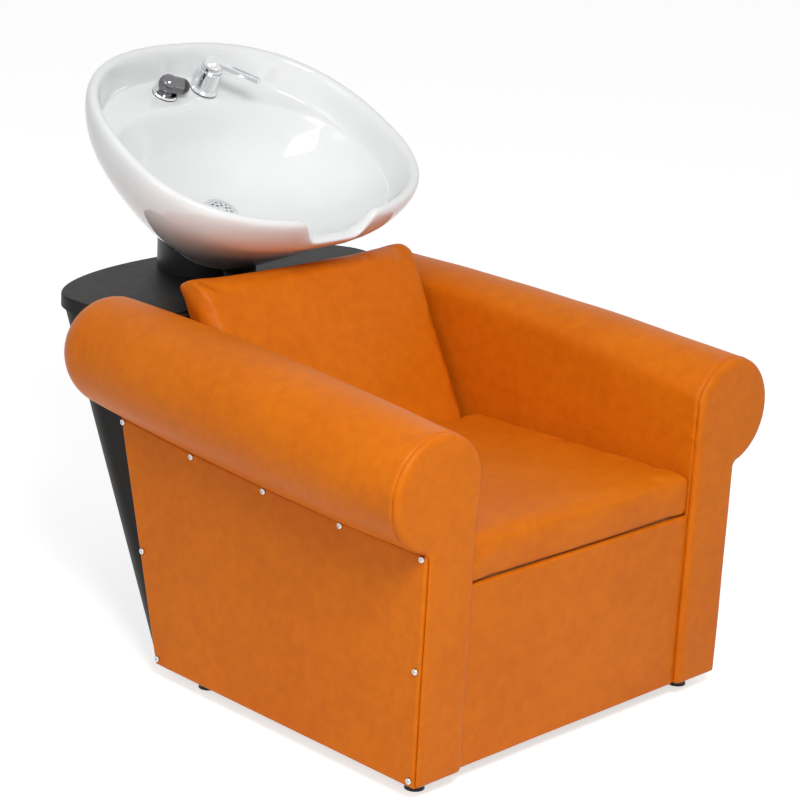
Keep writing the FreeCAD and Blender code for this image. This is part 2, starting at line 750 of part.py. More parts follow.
def tilt_base():
    # collar, base bracket with two ears, pins, nuts, washers and stops: all fixed to the shelf
    tall = COLLAR_REAR_H + 10.0
    collar = ring(0, PIVOT_Y, SHELF_Z, SHELF_Z + tall, COLLAR_R, COLLAR_R - COLLAR_WALL)
    lip = ring(0, PIVOT_Y, SHELF_Z, PLATE_Z, COLLAR_R - COLLAR_WALL / 2, SHELF_HOLE_R)
    over = [
        (PIVOT_Y - COLLAR_R, SHELF_Z + COLLAR_FRONT_H),
        (PIVOT_Y + COLLAR_R, SHELF_Z + COLLAR_REAR_H),
        (PIVOT_Y + COLLAR_R, SHELF_Z + 2 * tall),
        (PIVOT_Y - COLLAR_R, SHELF_Z + 2 * tall),
    ]
    collar = collar.cut(prism_x(over, -2 * COLLAR_R, 2 * COLLAR_R)).fuse(lip).removeSplitter()
    keep("tilt_collar", collar.cut(plate_screw_holes(SHELF_Z - 1, PLATE_Z + 1)))

    plate_r = COLLAR_R - COLLAR_WALL - 1.0
    plate = ring(0, PIVOT_Y, PLATE_Z, PLATE_Z + PLATE, plate_r, PLATE_HOLE_R)
    plate = plate.cut(plate_screw_holes(PLATE_Z - 1, PLATE_Z + PLATE + 1))
    ear_in = EAR_X + EAR + WASHER + 2 * FIT_GAP
    hole = PIN_R + PIN_CLEAR
    bracket = plate
    for side in (-1.0, 1.0):
        span = sorted((side * ear_in, side * (ear_in + EAR)))
        upright = box(span[0], span[1], PIVOT_Y - EAR_R, PIVOT_Y + EAR_R, PLATE_Z + 1, PIVOT_Z)
        ear = upright.fuse(rod_x(span[0], span[1], PIVOT_Y, PIVOT_Z, EAR_R))
        bracket = bracket.fuse(ear.cut(rod_x(span[0] - 1, span[1] + 1, PIVOT_Y, PIVOT_Z, hole)))
    keep("tilt_base", bracket.removeSplitter())

    nuts = []
    washers = []
    for name, side in SIDES:
        head = rod_x(EAR_X - PIN_HEAD_H - FIT_GAP, EAR_X - FIT_GAP, PIVOT_Y, PIVOT_Z, PIN_HEAD_R)
        shank = rod_x(EAR_X - FIT_GAP, ear_in + EAR + PIN_NUT_H + 1.0, PIVOT_Y, PIVOT_Z, PIN_R)
        keep("tilt_pin_" + name, both_sides(head.fuse(shank), side))
        nut = hexagon(0, 0, 0, PIN_NUT_H, PIN_NUT_FLATS, PIN_R + PIN_CLEAR)
        nut.Placement = FreeCAD.Placement(Vector(ear_in + EAR, PIVOT_Y, PIVOT_Z), Rotation(Vector(0, 1, 0), 90))
        nuts.append(both_sides(nut, side))
        washer = rod_x(EAR_X + EAR + FIT_GAP, ear_in - FIT_GAP, PIVOT_Y, PIVOT_Z, WASHER_R)
        washer = washer.cut(rod_x(0, 2 * ear_in, PIVOT_Y, PIVOT_Z, hole))
        washers.append(both_sides(washer, side))
    keep("tilt_pin_nuts", Part.makeCompound(nuts))
    keep("tilt_friction_washers", Part.makeCompound(washers))

    screws = []
    for x, y in plate_screw_places():
        shank = cylinder(x, y, SHELF_UNDER - 2.0, PLATE_Z + PLATE, BOLT_R)
        screws.append(shank.fuse(hexagon(x, y, PLATE_Z + PLATE, PLATE_Z + PLATE + BOLT_HEAD_H, BOLT_HEAD_FLATS, 0.5 * BOLT_R)))
    keep("tilt_base_screws", Part.makeCompound(screws))

    stops = []
    ring_mid = FOOT_RING_R - FOOT_RING_WALL / 2.0
    seat = to_world(Vector(0, DRAIN_Y - ring_mid, FOOT_RING_Z - FIT_GAP))
    lean = math.tan(math.radians(BASIN_TILT_DEG))
    for side in (-1.0, 1.0):
        stop = cylinder(side * BUFFER_X, seat.y, SHELF_Z, seat.z + 2 * BUFFER_R, BUFFER_R)
        above = [
            (seat.y - 2 * BUFFER_R, seat.z - 2 * BUFFER_R * lean),
            (seat.y + 2 * BUFFER_R, seat.z + 2 * BUFFER_R * lean),
            (seat.y + 2 * BUFFER_R, seat.z + 6 * BUFFER_R),
            (seat.y - 2 * BUFFER_R, seat.z + 6 * BUFFER_R),
        ]
        stops.append(stop.cut(prism_x(above, -2 * COLLAR_R, 2 * COLLAR_R)))
    keep("tilt_stops", Part.makeCompound(stops))


def basin_matrix():
    # from the basin's own frame to the unit's: turned about X, with the pivot on the tilt pins
    turn = Rotation(Vector(1, 0, 0), BASIN_TILT_DEG)
    pivot = turn.multVec(Vector(0, PIVOT_LOCAL_Y, PIVOT_LOCAL_Z))
    return FreeCAD.Placement(Vector(0, PIVOT_Y, PIVOT_Z) - pivot, turn)


def to_world(point):
    return basin_matrix().multVec(point)


def keep_basin(name, shape):
    moved = shape.copy()
    moved.Placement = basin_matrix().multiply(moved.Placement)
    keep(name, moved)


def oval(z, half, rear, front, power):
    # rounded outline of the basin at one level: two half superellipses that meet at the waist
    waist = RIM_WAIST if front < RIM_WAIST - 60 else (rear + front) / 2.0
    points = []
    count = 28
    for i in range(count):
        a = 2 * math.pi * i / count
        c = math.cos(a)
        s = math.sin(a)
        reach = rear - waist if s > 0 else waist - front
        x = half * math.copysign(abs(c) ** (2.0 / power), c)
        y = waist + reach * math.copysign(abs(s) ** (2.0 / power), s)
        points.append(Vector(x, y, z))
    curve = Part.BSplineCurve()
    curve.interpolate(Points=points, PeriodicFlag=True)
    return Part.Wire([curve.toShape()])


def foot_round(z, r):
    return (z, r, DRAIN_Y + r, DRAIN_Y - r, 2.0)


def basin_loft(levels):
    return Part.makeLoft([oval(*level) for level in levels], True, False)


def bowl():
    outside = basin_loft([
        (0.0, RIM_HALF_WIDTH - RIM_EDGE, RIM_REAR - RIM_EDGE, RIM_FRONT + RIM_EDGE, 2.4),
        (-5.0, RIM_HALF_WIDTH - 2.0, RIM_REAR - 2.0, RIM_FRONT + 2.0, 2.4),
        (-16.0, RIM_HALF_WIDTH, RIM_REAR, RIM_FRONT, 2.4),
        (-70.0, RIM_HALF_WIDTH - 14.0, RIM_REAR - 24.0, RIM_FRONT + 14.0, 2.35),
        (-135.0, RIM_HALF_WIDTH - 72.0, RIM_REAR - 78.0, RIM_FRONT + 76.0, 2.2),
        (-195.0, RIM_HALF_WIDTH - 146.0, RIM_REAR - 112.0, RIM_FRONT + 126.0, 2.05),
        foot_round(FOOT_RING_Z, FOOT_RING_R),
    ])
    land = RIM_LAND
    recess = basin_loft([
        (2.0, RIM_HALF_WIDTH - land, RIM_REAR - land, RIM_FRONT + land, 2.4),
        (-6.0, RIM_HALF_WIDTH - land - 4, RIM_REAR - land - 4, RIM_FRONT + land + 4, 2.4),
        (DECK_Z, RIM_HALF_WIDTH - land - 15, RIM_REAR - land - 14, RIM_FRONT + land + 19, 2.4),
    ])
    rear = FITTING_Y - MIXER_FLANGE_R - 13.0
    basin = basin_loft([
        (DECK_Z + 1.0, RIM_HALF_WIDTH - 45.0, rear, RIM_FRONT + 47.0, 2.3),
        (-95.0, RIM_HALF_WIDTH - 62.0, rear - 16.0, RIM_FRONT + 66.0, 2.25),
        (-140.0, RIM_HALF_WIDTH - 112.0, rear - 42.0, RIM_FRONT + 118.0, 2.15),
        (-172.0, RIM_HALF_WIDTH - 190.0, rear - 82.0, RIM_FRONT + 180.0, 2.05),
        foot_round(FLOOR_Z, WASTE_FLANGE_R + 8.0),
    ])
    shell = outside.cut(recess).cut(basin)
    hollow_r = FOOT_RING_R - FOOT_RING_WALL
    shell = shell.cut(cylinder(0, DRAIN_Y, FOOT_RING_Z - 1, FLOOR_UNDER, hollow_r))
    shell = shell.cut(cylinder(0, DRAIN_Y, FOOT_RING_Z, FLOOR_Z + 1, WASTE_TUBE_R + WASTE_CLEAR))
    for x in (FITTING_X, SHOWER_X):
        shell = shell.cut(cylinder(x, FITTING_Y, DECK_Z - 2 * DECK_WALL, DECK_Z + 1, SHANK_R + HOLE_CLEAR))
    pocket = box(-POCKET_HALF_WIDTH, POCKET_HALF_WIDTH, POCKET_FRONT, POCKET_REAR, FOOT_RING_Z, DECK_Z - DECK_WALL)
    upright = [e for e in pocket.Edges if abs(e.Vertexes[0].Z - e.Vertexes[1].Z) > 1.0]
    shell = shell.cut(pocket.makeFillet(12.0, upright))
    for x, y in cradle_bolt_places():
        shell = shell.cut(cylinder(x, y, FLOOR_UNDER - 1, CRADLE_Z + BOLT_LENGTH + 1, BOLT_R + SCREW_CLEAR))
    return shell.cut(neck_notch())


def neck_notch():
    # rounded U through the front wall, where the neck rests
    corners = [
        (NOTCH_FLOOR_HALF, -NOTCH_DEPTH),
        (NOTCH_HALF_WIDTH + 10.0, 20.0),
        (-NOTCH_HALF_WIDTH - 10.0, 20.0),
        (-NOTCH_FLOOR_HALF, -NOTCH_DEPTH),
    ]
    start = RIM_FRONT - 20.0
    wire = soft_wire(corners, [NOTCH_R, 4.0, 4.0, NOTCH_R], [0, 0, 0, 0], lambda x, z: Vector(x, start, z))
    return Part.Face(wire).extrude(Vector(0, 80.0, 0))


def cradle_bolt_places():
    r = CRADLE_PCD / 2.0
    return [
        (r * math.cos(a), DRAIN_Y + r * math.sin(a))
        for a in [(i + 0.5) * 2 * math.pi / CRADLE_BOLTS for i in range(CRADLE_BOLTS)]
    ]


def basin_and_cradle():
    keep_basin("bowl", bowl())
    holes = Part.makeCompound([
        cylinder(x, y, CRADLE_Z - 1, FLOOR_UNDER + 1, BOLT_R + SCREW_CLEAR) for x, y in cradle_bolt_places()
    ])
    keep_basin("bowl_gasket", ring(0, DRAIN_Y, CRADLE_TOP, FLOOR_UNDER, CRADLE_R, CRADLE_HOLE_R).cut(holes))
    cradle = ring(0, DRAIN_Y, CRADLE_Z, CRADLE_TOP, CRADLE_R, CRADLE_HOLE_R).cut(holes)
    for side in (-1.0, 1.0):
        span = sorted((side * EAR_X, side * (EAR_X + EAR)))
        arm = prism_x([
            (PIVOT_LOCAL_Y - EAR_R, PIVOT_LOCAL_Z),
            (PIVOT_LOCAL_Y + EAR_R, PIVOT_LOCAL_Z),
            (PIVOT_LOCAL_Y + 2 * EAR_R, CRADLE_Z + 1),
            (PIVOT_LOCAL_Y - 2 * EAR_R, CRADLE_Z + 1),
        ], span[0], span[1])
        ear = arm.fuse(rod_x(span[0], span[1], PIVOT_LOCAL_Y, PIVOT_LOCAL_Z, EAR_R))
        ear = ear.cut(rod_x(span[0] - 1, span[1] + 1, PIVOT_LOCAL_Y, PIVOT_LOCAL_Z, PIN_R + PIN_CLEAR))
        cradle = cradle.fuse(ear)
    keep_basin("tilt_cradle", cradle.removeSplitter())
    bolts = []
    for x, y in cradle_bolt_places():
        shank = cylinder(x, y, CRADLE_Z, CRADLE_Z + BOLT_LENGTH, BOLT_R)
        bolts.append(shank.fuse(hexagon(x, y, CRADLE_Z - BOLT_HEAD_H, CRADLE_Z, BOLT_HEAD_FLATS, 0.5 * BOLT_R)))
    keep_basin("cradle_bolts", Part.makeCompound(bolts))
    outer = SKIRT_R + SKIRT_WALL
    skirt = ring(0, DRAIN_Y, SKIRT_REAR_Z, CRADLE_Z, outer, SKIRT_R)
    below = [
        (DRAIN_Y - outer, SKIRT_FRONT_Z),
        (DRAIN_Y + outer, SKIRT_REAR_Z),
        (DRAIN_Y + outer, 2 * SKIRT_REAR_Z),
        (DRAIN_Y - outer, 2 * SKIRT_REAR_Z),
    ]
    keep_basin("tilt_skirt", skirt.cut(prism_x(below, -2 * outer, 2 * outer)))


def waste():
    top = FLOOR_Z + WASTE_FLANGE_H
    seat = top - STRAINER_THICK
    keep_basin("waste_flange", revolve_z([
        (STRAINER_R + FIT_GAP, top),
        (WASTE_FLANGE_R - 2.0, top),
        (WASTE_FLANGE_R, FLOOR_Z),
        (WASTE_TUBE_R, FLOOR_Z),
        (WASTE_TUBE_R, WASTE_TUBE_END),
        (WASTE_BORE_R, WASTE_TUBE_END),
        (WASTE_BORE_R, seat - 1.0),
        (STRAINER_R - 4.0, seat),
        (STRAINER_R + FIT_GAP, seat),
    ], 0.0, DRAIN_Y))
    cap = Part.makeSphere(dome_radius(), Vector(0, DRAIN_Y, seat + STRAINER_THICK + STRAINER_DOME - dome_radius()))
    inner = Part.makeSphere(dome_radius() - STRAINER_THICK, cap.BoundBox.Center)
    plate = cylinder(0, DRAIN_Y, seat, seat + STRAINER_THICK + STRAINER_DOME + 1, STRAINER_R)
    strainer = cap.cut(inner).common(plate)
    rim = ring(0, DRAIN_Y, seat, seat + STRAINER_THICK, STRAINER_R, STRAINER_R - 4.0)
    strainer = strainer.fuse(rim).removeSplitter()
    for row, share in ((1.0, 0.68), (0.5, 0.36)):
        count = int(STRAINER_HOLES * row)
        for i in range(count):
            a = 2 * math.pi * i / count
            x = share * STRAINER_R * math.cos(a)
            y = DRAIN_Y + share * STRAINER_R * math.sin(a)
            strainer = strainer.cut(cylinder(x, y, seat - 5, top + 3 * STRAINER_DOME, STRAINER_HOLE_R))
    keep_basin("hair_strainer", strainer)
    nut_top = FLOOR_UNDER - GASKET
    nut_low = nut_top - BACKNUT_H
    tube = WASTE_TUBE_R + PIN_CLEAR
    keep_basin("waste_seal", ring(0, DRAIN_Y, nut_top, FLOOR_UNDER, BACKNUT_FLATS / 2, tube))
    keep_basin("waste_back_nut", hexagon(0, DRAIN_Y, nut_low, nut_top, BACKNUT_FLATS, tube))
    keep_basin("waste_tail", revolve_z([
        (TAIL_BORE_R, WASTE_TUBE_END),
        (WASTE_TUBE_R, WASTE_TUBE_END),
        (WASTE_TUBE_R, WASTE_TUBE_END - 3.0),
        (TAIL_NECK_R, WASTE_TUBE_END - 3.0),
        (TAIL_NECK_R, TAIL_NECK_END),
        (TAIL_R, TAIL_NECK_END),
        (TAIL_R, TAIL_END),
        (TAIL_BORE_R, TAIL_END),
    ], 0.0, DRAIN_Y))
    keep_basin("waste_coupling_nut", revolve_z([
        (tube, nut_low - 1.0),
        (COUPLING_R, nut_low - 1.0),
        (COUPLING_R, WASTE_TUBE_END - 9.0),
        (TAIL_R + PIN_CLEAR, WASTE_TUBE_END - 9.0),
        (TAIL_R + PIN_CLEAR, WASTE_TUBE_END - 3.0 - PIN_CLEAR),
        (tube, WASTE_TUBE_END - 3.0 - PIN_CLEAR),
    ], 0.0, DRAIN_Y))


def dome_radius():
    return (STRAINER_R ** 2 + STRAINER_DOME ** 2) / (2 * STRAINER_DOME)


def mixer():
    # drawn with the deck at z = 0 and the lever towards -y, then turned and set on the deck
    place = fitting_place(FITTING_X, LEVER_TURN_DEG)
    keep_fitting("mixer_gasket", ring(0, 0, 0, SEAL, MIXER_FLANGE_R, SHANK_R + PIN_CLEAR), place)
    body = revolve_z([
        (0.0, -SHANK_LENGTH),
        (SHANK_R, -SHANK_LENGTH),
        (SHANK_R, SEAL),
        (MIXER_FLANGE_R, SEAL),
        (MIXER_FLANGE_R, SEAL + 3.0),
        (MIXER_R, SEAL + 6.0),
        (MIXER_R, MIXER_TOP - 1.0),
        (MIXER_R - 1.0, MIXER_TOP),
        (0.0, MIXER_TOP),
    ])
    body = body.cut(Part.makeSphere(BALL_R + BALL_GAP, Vector(0, 0, LEVER_PIVOT)))
    body = body.cut(cylinder(0, 0, CARTRIDGE_FLOOR, MIXER_TOP, CARTRIDGE_R + PIN_CLEAR))
    for side in (-1.0, 1.0):
        x = side * INLET_SPACING / 2
        body = body.cut(cylinder(x, 0, -SHANK_LENGTH - 1, -SHANK_LENGTH + INLET_DEPTH, INLET_R))
    keep_fitting("mixer_body", body, place)
    nut_top = -DECK_WALL - SEAL
    keep_fitting("mixer_back_nut", hexagon(0, 0, nut_top - SHANK_NUT_H, nut_top, SHANK_NUT_FLATS, SHANK_R + PIN_CLEAR), place)
    keep_fitting("mixer_back_seal", ring(0, 0, nut_top, -DECK_WALL, SHANK_NUT_FLATS / 2, SHANK_R + PIN_CLEAR), place)
    cartridge = cylinder(0, 0, CARTRIDGE_FLOOR, CARTRIDGE_TOP, CARTRIDGE_R)
    keep_fitting("mixer_cartridge", cartridge.cut(cylinder(0, 0, STEM_FLOOR, CARTRIDGE_TOP + 1, STEM_R + PIN_CLEAR)), place)
    tongue_r = TONGUE / 2 + 2 * LEVER_PIN_R
    stem = cylinder(0, 0, STEM_FLOOR, LEVER_PIVOT - tongue_r - 1, STEM_R)
    neck = box(-TONGUE / 2, TONGUE / 2, -STEM_R / 2, STEM_R / 2, LEVER_PIVOT - tongue_r - 2, LEVER_PIVOT)
    tongue = rod_x(-TONGUE / 2, TONGUE / 2, 0, LEVER_PIVOT, 2 * LEVER_PIN_R)
    hole = rod_x(-TONGUE, TONGUE, 0, LEVER_PIVOT, LEVER_PIN_R + PIN_CLEAR)
    keep_fitting("mixer_stem", stem.fuse(neck).fuse(tongue).cut(hole).removeSplitter(), place)

    ball = Part.makeSphere(BALL_R, Vector(0, 0, LEVER_PIVOT))
    low = LEVER_PIVOT - BALL_CUT
    ball = ball.cut(box(-2 * BALL_R, 2 * BALL_R, -2 * BALL_R, 2 * BALL_R, low - 2 * BALL_R, low))
    cavity = Part.makeSphere(BALL_R - BALL_WALL, Vector(0, 0, LEVER_PIVOT))
    z0 = LEVER_PIVOT + LEVER_ABOVE
    w0 = LEVER_WIDTH / 2
    w1 = LEVER_TIP_WIDTH / 2
    tip = -LEVER_REACH + w1
    bar = Part.Face(polygon([
        Vector(-w0, 0, z0), Vector(w0, 0, z0), Vector(w1, tip, z0), Vector(-w1, tip, z0),
    ])).extrude(Vector(0, 0, LEVER_THICK))
    bar = bar.fuse(cylinder(0, tip, z0, z0 + LEVER_THICK, w1))
    slot_r = LEVER_SLOT_WIDTH / 2
    slot = box(-slot_r, slot_r, tip, -LEVER_SLOT_START, z0 - 1, z0 + LEVER_THICK + 1)
    slot = slot.fuse(cylinder(0, tip, z0 - 1, z0 + LEVER_THICK + 1, slot_r))
    slot = slot.fuse(cylinder(0, -LEVER_SLOT_START, z0 - 1, z0 + LEVER_THICK + 1, slot_r))
    lever = ball.fuse(bar).cut(cavity).cut(slot)
    cheeks = rod_x(-BALL_R + 1, BALL_R - 1, 0, LEVER_PIVOT, 2 * LEVER_PIN_R)
    gap = box(-TONGUE / 2 - FIT_GAP, TONGUE / 2 + FIT_GAP, -BALL_R, BALL_R, low, LEVER_PIVOT + BALL_R)
    cheeks = cheeks.cut(gap)
    pin = rod_x(-BALL_R + 3, BALL_R - 3, 0, LEVER_PIVOT, LEVER_PIN_R)
    lever = lever.fuse(cheeks).cut(rod_x(-BALL_R + 3, BALL_R - 3, 0, LEVER_PIVOT, LEVER_PIN_R + PIN_CLEAR))
    keep_fitting("mixer_lever", lever, place)
    keep_fitting("lever_pin", pin, place)


def fitting_place(x, turn):
    spin = Rotation(Vector(0, 0, 1), turn)
    return FreeCAD.Placement(Vector(x, FITTING_Y, DECK_Z), spin)


def keep_fitting(name, shape, place):
    moved = shape.copy()
    moved.Placement = place.multiply(moved.Placement)
    keep_basin(name, moved)


def hand_shower():
    place = fitting_place(SHOWER_X, HANDSET_TURN_DEG)
    keep_fitting("shower_bush_seal", ring(0, 0, 0, SEAL, BUSH_R, BUSH_SLEEVE_R + PIN_CLEAR), place)
    top = SEAL + BUSH_FLANGE_H
    keep_fitting("shower_bush", revolve_z([
        (BUSH_BORE_R, -BUSH_LENGTH),
        (BUSH_SLEEVE_R, -BUSH_LENGTH),
        (BUSH_SLEEVE_R, SEAL),
        (BUSH_R, SEAL),
        (BUSH_R - 2.0, top),
        (BUSH_BORE_R, top),
    ]), place)
    nut_top = -DECK_WALL - SEAL
    sleeve = BUSH_SLEEVE_R + PIN_CLEAR
    keep_fitting("shower_back_nut", hexagon(0, 0, nut_top - SHANK_NUT_H, nut_top, SHANK_NUT_FLATS, sleeve), place)
    keep_fitting("shower_back_seal", ring(0, 0, nut_top, -DECK_WALL, SHANK_NUT_FLATS / 2, sleeve), place)
    rest = top + FIT_GAP / 3
    centre = Vector(0, 0, top + HANDSET_RISE)
    stem = cylinder(0, 0, top - HANDSET_STEM, rest + 1, HANDSET_STEM_R)
    neck = Part.makeCone(HANDSET_SHOULDER_R, HANDSET_SHOULDER_R - 2.0, HANDSET_RISE - 4.0, Vector(0, 0, rest))
    dome = Part.makeSphere(HANDSET_R, centre)
    face_start = FACE_REACH - FACE_R
    barrel = Part.makeCone(HANDSET_R - 1.0, FACE_R, face_start, centre, Vector(0, -1, 0))
    above = box(-3 * HANDSET_R, 3 * HANDSET_R, -4 * HANDSET_R, 3 * HANDSET_R, rest, 5 * HANDSET_R)
    head = dome.fuse(barrel).common(above).fuse(neck).fuse(stem).removeSplitter()
    face_at = centre + Vector(0, -face_start, 0)
    face = Part.makeSphere(FACE_R, face_at)
    face = face.cut(box(-2 * FACE_R, 2 * FACE_R, face_at.y, 2 * FACE_R, 0, 5 * HANDSET_R))
    keep_fitting("handset_head", head, place)
    keep_fitting("handset_face", face, place)


def main():
    arms()
    seat_and_back()
    cross_rails()
    pod()
    feet()
    tilt_base()
    basin_and_cradle()
    waste()
    mixer()
    hand_shower()
    os.makedirs("parts", exist_ok=True)
    for name, shape in pieces.items():
        moved = shape.copy()
        moved.translate(Vector(0, -OVERALL_DEPTH / 2.0, 0))
        moved.exportStep("parts/%s.step" % name)


main()
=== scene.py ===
import json
import math

import bmesh
import bpy
import numpy as np
from mathutils import Matrix, Vector, noise


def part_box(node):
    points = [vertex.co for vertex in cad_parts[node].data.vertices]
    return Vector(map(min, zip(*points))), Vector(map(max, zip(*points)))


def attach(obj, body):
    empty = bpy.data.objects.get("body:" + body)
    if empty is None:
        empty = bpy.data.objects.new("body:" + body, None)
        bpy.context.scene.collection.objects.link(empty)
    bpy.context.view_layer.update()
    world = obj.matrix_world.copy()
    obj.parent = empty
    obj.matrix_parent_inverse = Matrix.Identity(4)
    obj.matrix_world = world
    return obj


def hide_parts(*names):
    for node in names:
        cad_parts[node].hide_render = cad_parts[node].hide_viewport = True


# Backwash unit: orange vinyl chair, black pod, white basin. Metres, in the part's own frame.

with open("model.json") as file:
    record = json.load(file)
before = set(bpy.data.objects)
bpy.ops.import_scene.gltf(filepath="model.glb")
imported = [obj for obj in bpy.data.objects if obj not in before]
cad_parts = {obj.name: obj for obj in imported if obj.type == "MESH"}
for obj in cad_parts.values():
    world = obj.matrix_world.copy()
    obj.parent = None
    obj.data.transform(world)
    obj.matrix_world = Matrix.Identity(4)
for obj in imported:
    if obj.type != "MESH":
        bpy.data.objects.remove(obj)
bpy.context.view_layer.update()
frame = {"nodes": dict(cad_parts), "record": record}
nodes = frame["nodes"]
scene = bpy.context.scene

# Chair
DEPTH = 1.040                   # front of the arms to the shelf's rear edge
FRONT = -DEPTH / 2              # the arms' front face
BEHIND_FRONT = FRONT + 0.0225   # back of the front board
SEAM = FRONT + 0.0115           # seam round the arms' sewn-in front panel
ROLL_X = 0.346                  # the roll's axis at the front, its radius and its length
ROLL_Z = 0.488
ROLL_R = 0.092
ROLL_LENGTH = 0.776
ROLL_SWELL = 0.032              # the radius is a quarter of this larger at mid length
ROLL_TOE = math.tan(math.radians(1.9))
ROLL_SLOPE = math.tan(math.radians(2.2))
ARM_FACE = 0.272                # inner face of the arm's core beside the seat
ARM_WALL = 0.261                # inner face of the arm's cover, flat from the roll down
STEP_LOW = 0.412                # where the core's inner face starts to step in, and how tall the step is
STEP_RISE = 0.050
SEAT_TILT = math.radians(2.6)
SEAT_SLOPE = math.tan(SEAT_TILT)
SEAT_BASE = 0.335               # underside of the seat pad at its front
SEAT_SIDE = 0.2605              # half width of the covers that fit between the arms
SEAT_LIP = 0.009                # how far the seat pad's front hangs over the front board
BACK_LEAN = math.radians(28.6)
BACK_FOOT = (0.0, FRONT + 0.514, 0.3877)    # a point low on the back pad's front face
BACK_PAD = 0.064                # from there to the back pad's flat rear
BOARD_EDGE = 0.0045             # soft edge of the covered boards
PANEL_GAP = 0.0016              # between a side board and the roll above it
ARM_VOXEL = 0.0045
PAD_VOXEL = 0.006
PAD_SHRINK = 0.0045             # the pads start this much smaller, and the cloth run fills them out
PAD_CAP = 0.009                 # the furthest that a point may move in that run
PAD_PRESSURE = 4.0
CLOTH_FRAMES = 20

# Basin, in its own level frame, and where that frame stands
TILT = math.radians(27.0)       # the basin leans towards the chair
PIVOT = Vector((0.0, 0.410, 0.622))
PIVOT_LOCAL = Vector((0.0, -0.050, -0.267))
BASIN = Matrix.Translation(PIVOT) @ Matrix.Rotation(TILT, 4, "X") @ Matrix.Translation(-PIVOT_LOCAL)
RIM_HALF = 0.305
RIM_REAR = 0.208
RIM_FRONT = -0.309
WAIST = -0.076                  # where the rim is widest
DRAIN_Y = -0.050
DECK = -0.060                   # the rear deck's level below the rim
NOTCH_DEPTH = 0.042
NOTCH_FLAT = 0.052              # half width of the neck rest's floor, and the width of each flank
NOTCH_FLANK = 0.030
FITTINGS_X = (-0.043, 0.047)
FITTINGS_Y = 0.137
FITTINGS_BORE = 0.015

# Screws
HEAD_R = 0.00525
HEAD_TALL = 0.0034
SHANK_R = 0.002
CROSS_REACH = 0.0026
CROSS_HALF = 0.00062
CROSS_DEPTH = 0.0015

# Camera, from the photograph's straight edges
CAMERA_PLACE = (-2.749, FRONT - 2.225, 1.613)
CAMERA_AZIMUTH = math.radians(-46.02)
CAMERA_ELEVATION = math.radians(16.73)
CAMERA_ROLL = math.radians(3.17)
FOCAL_PIXELS = 2396.5
IMAGE_PIXELS = 800.0
SENSOR = 36.0


# Materials

def new_material(name):
    mat = bpy.data.materials.new(name)
    mat.use_nodes = True
    tree = mat.node_tree
    return mat, tree, tree.nodes["Principled BSDF"]


def add(tree, kind, **values):
    node = tree.nodes.new(kind)
    for key, value in values.items():
        setattr(node, key, value)
    return node


def place(tree):
    return add(tree, "ShaderNodeTexCoord").outputs["Object"]


def noise_at(tree, where, scale, detail=3.0, rough=0.55):
    node = add(tree, "ShaderNodeTexNoise")
    node.inputs["Scale"].default_value = scale
    node.inputs["Detail"].default_value = detail
    node.inputs["Roughness"].default_value = rough
    tree.links.new(where, node.inputs["Vector"])
    return node.outputs["Fac"]


def ramp(tree, fac, low, high, a, b):
    node = add(tree, "ShaderNodeValToRGB")
    node.color_ramp.elements[0].position = low
    node.color_ramp.elements[1].position = high
    node.color_ramp.elements[0].color = a
    node.color_ramp.elements[1].color = b
    tree.links.new(fac, node.inputs["Fac"])
    return node.outputs["Color"]


def remap(tree, fac, a, b):
    node = add(tree, "ShaderNodeMapRange")
    node.inputs["To Min"].default_value = a
    node.inputs["To Max"].default_value = b
    tree.links.new(fac, node.inputs["Value"])
    return node.outputs["Result"]


def bump(tree, height, strength, distance, before=None):
    node = add(tree, "ShaderNodeBump")
    node.inputs["Strength"].default_value = strength
    node.inputs["Distance"].default_value = distance
    tree.links.new(height, node.inputs["Height"])
    if before:
        tree.links.new(before, node.inputs["Normal"])
    return node.outputs["Normal"]


def mix_color(tree, fac, a, b):
    node = add(tree, "ShaderNodeMix", data_type="RGBA")
    for socket, value in ((node.inputs[0], fac), (node.inputs[6], a), (node.inputs[7], b)):
        if isinstance(value, (tuple, float)):
            socket.default_value = value
        else:
            tree.links.new(value, socket)
    return node.outputs[2]


def vinyl(name, light, dark, rough, grain, shine):
    # embossed upholstery vinyl: pebble grain, slow mottling, uneven polish
    mat, tree, shader = new_material(name)
    where = place(tree)
    slow = noise_at(tree, where, 7.0, 4.0)
    mottle = noise_at(tree, where, 46.0, 5.0, 0.65)
    base = ramp(tree, slow, 0.30, 0.72, dark, light)
    blotch = ramp(tree, mottle, 0.38, 0.66, tuple(0.88 * c for c in dark[:3]) + (1.0,), light)
    tree.links.new(mix_color(tree, 0.35, base, blotch), shader.inputs["Base Color"])
    pebble = add(tree, "ShaderNodeTexVoronoi", feature="SMOOTH_F1")
    pebble.inputs["Scale"].default_value = 620.0
    pebble.inputs["Smoothness"].default_value = 0.6
    wobble = add(tree, "ShaderNodeTexNoise")
    wobble.inputs["Scale"].default_value = 210.0
    tree.links.new(where, wobble.inputs["Vector"])
    tree.links.new(where, pebble.inputs["Vector"])
    first = bump(tree, pebble.outputs["Distance"], grain, 0.0005)
    tree.links.new(bump(tree, wobble.outputs["Fac"], 0.10, 0.0008, first), shader.inputs["Normal"])
    tree.links.new(remap(tree, mottle, rough - 0.07, rough + 0.08), shader.inputs["Roughness"])
    shader.inputs["Specular IOR Level"].default_value = shine
    return mat


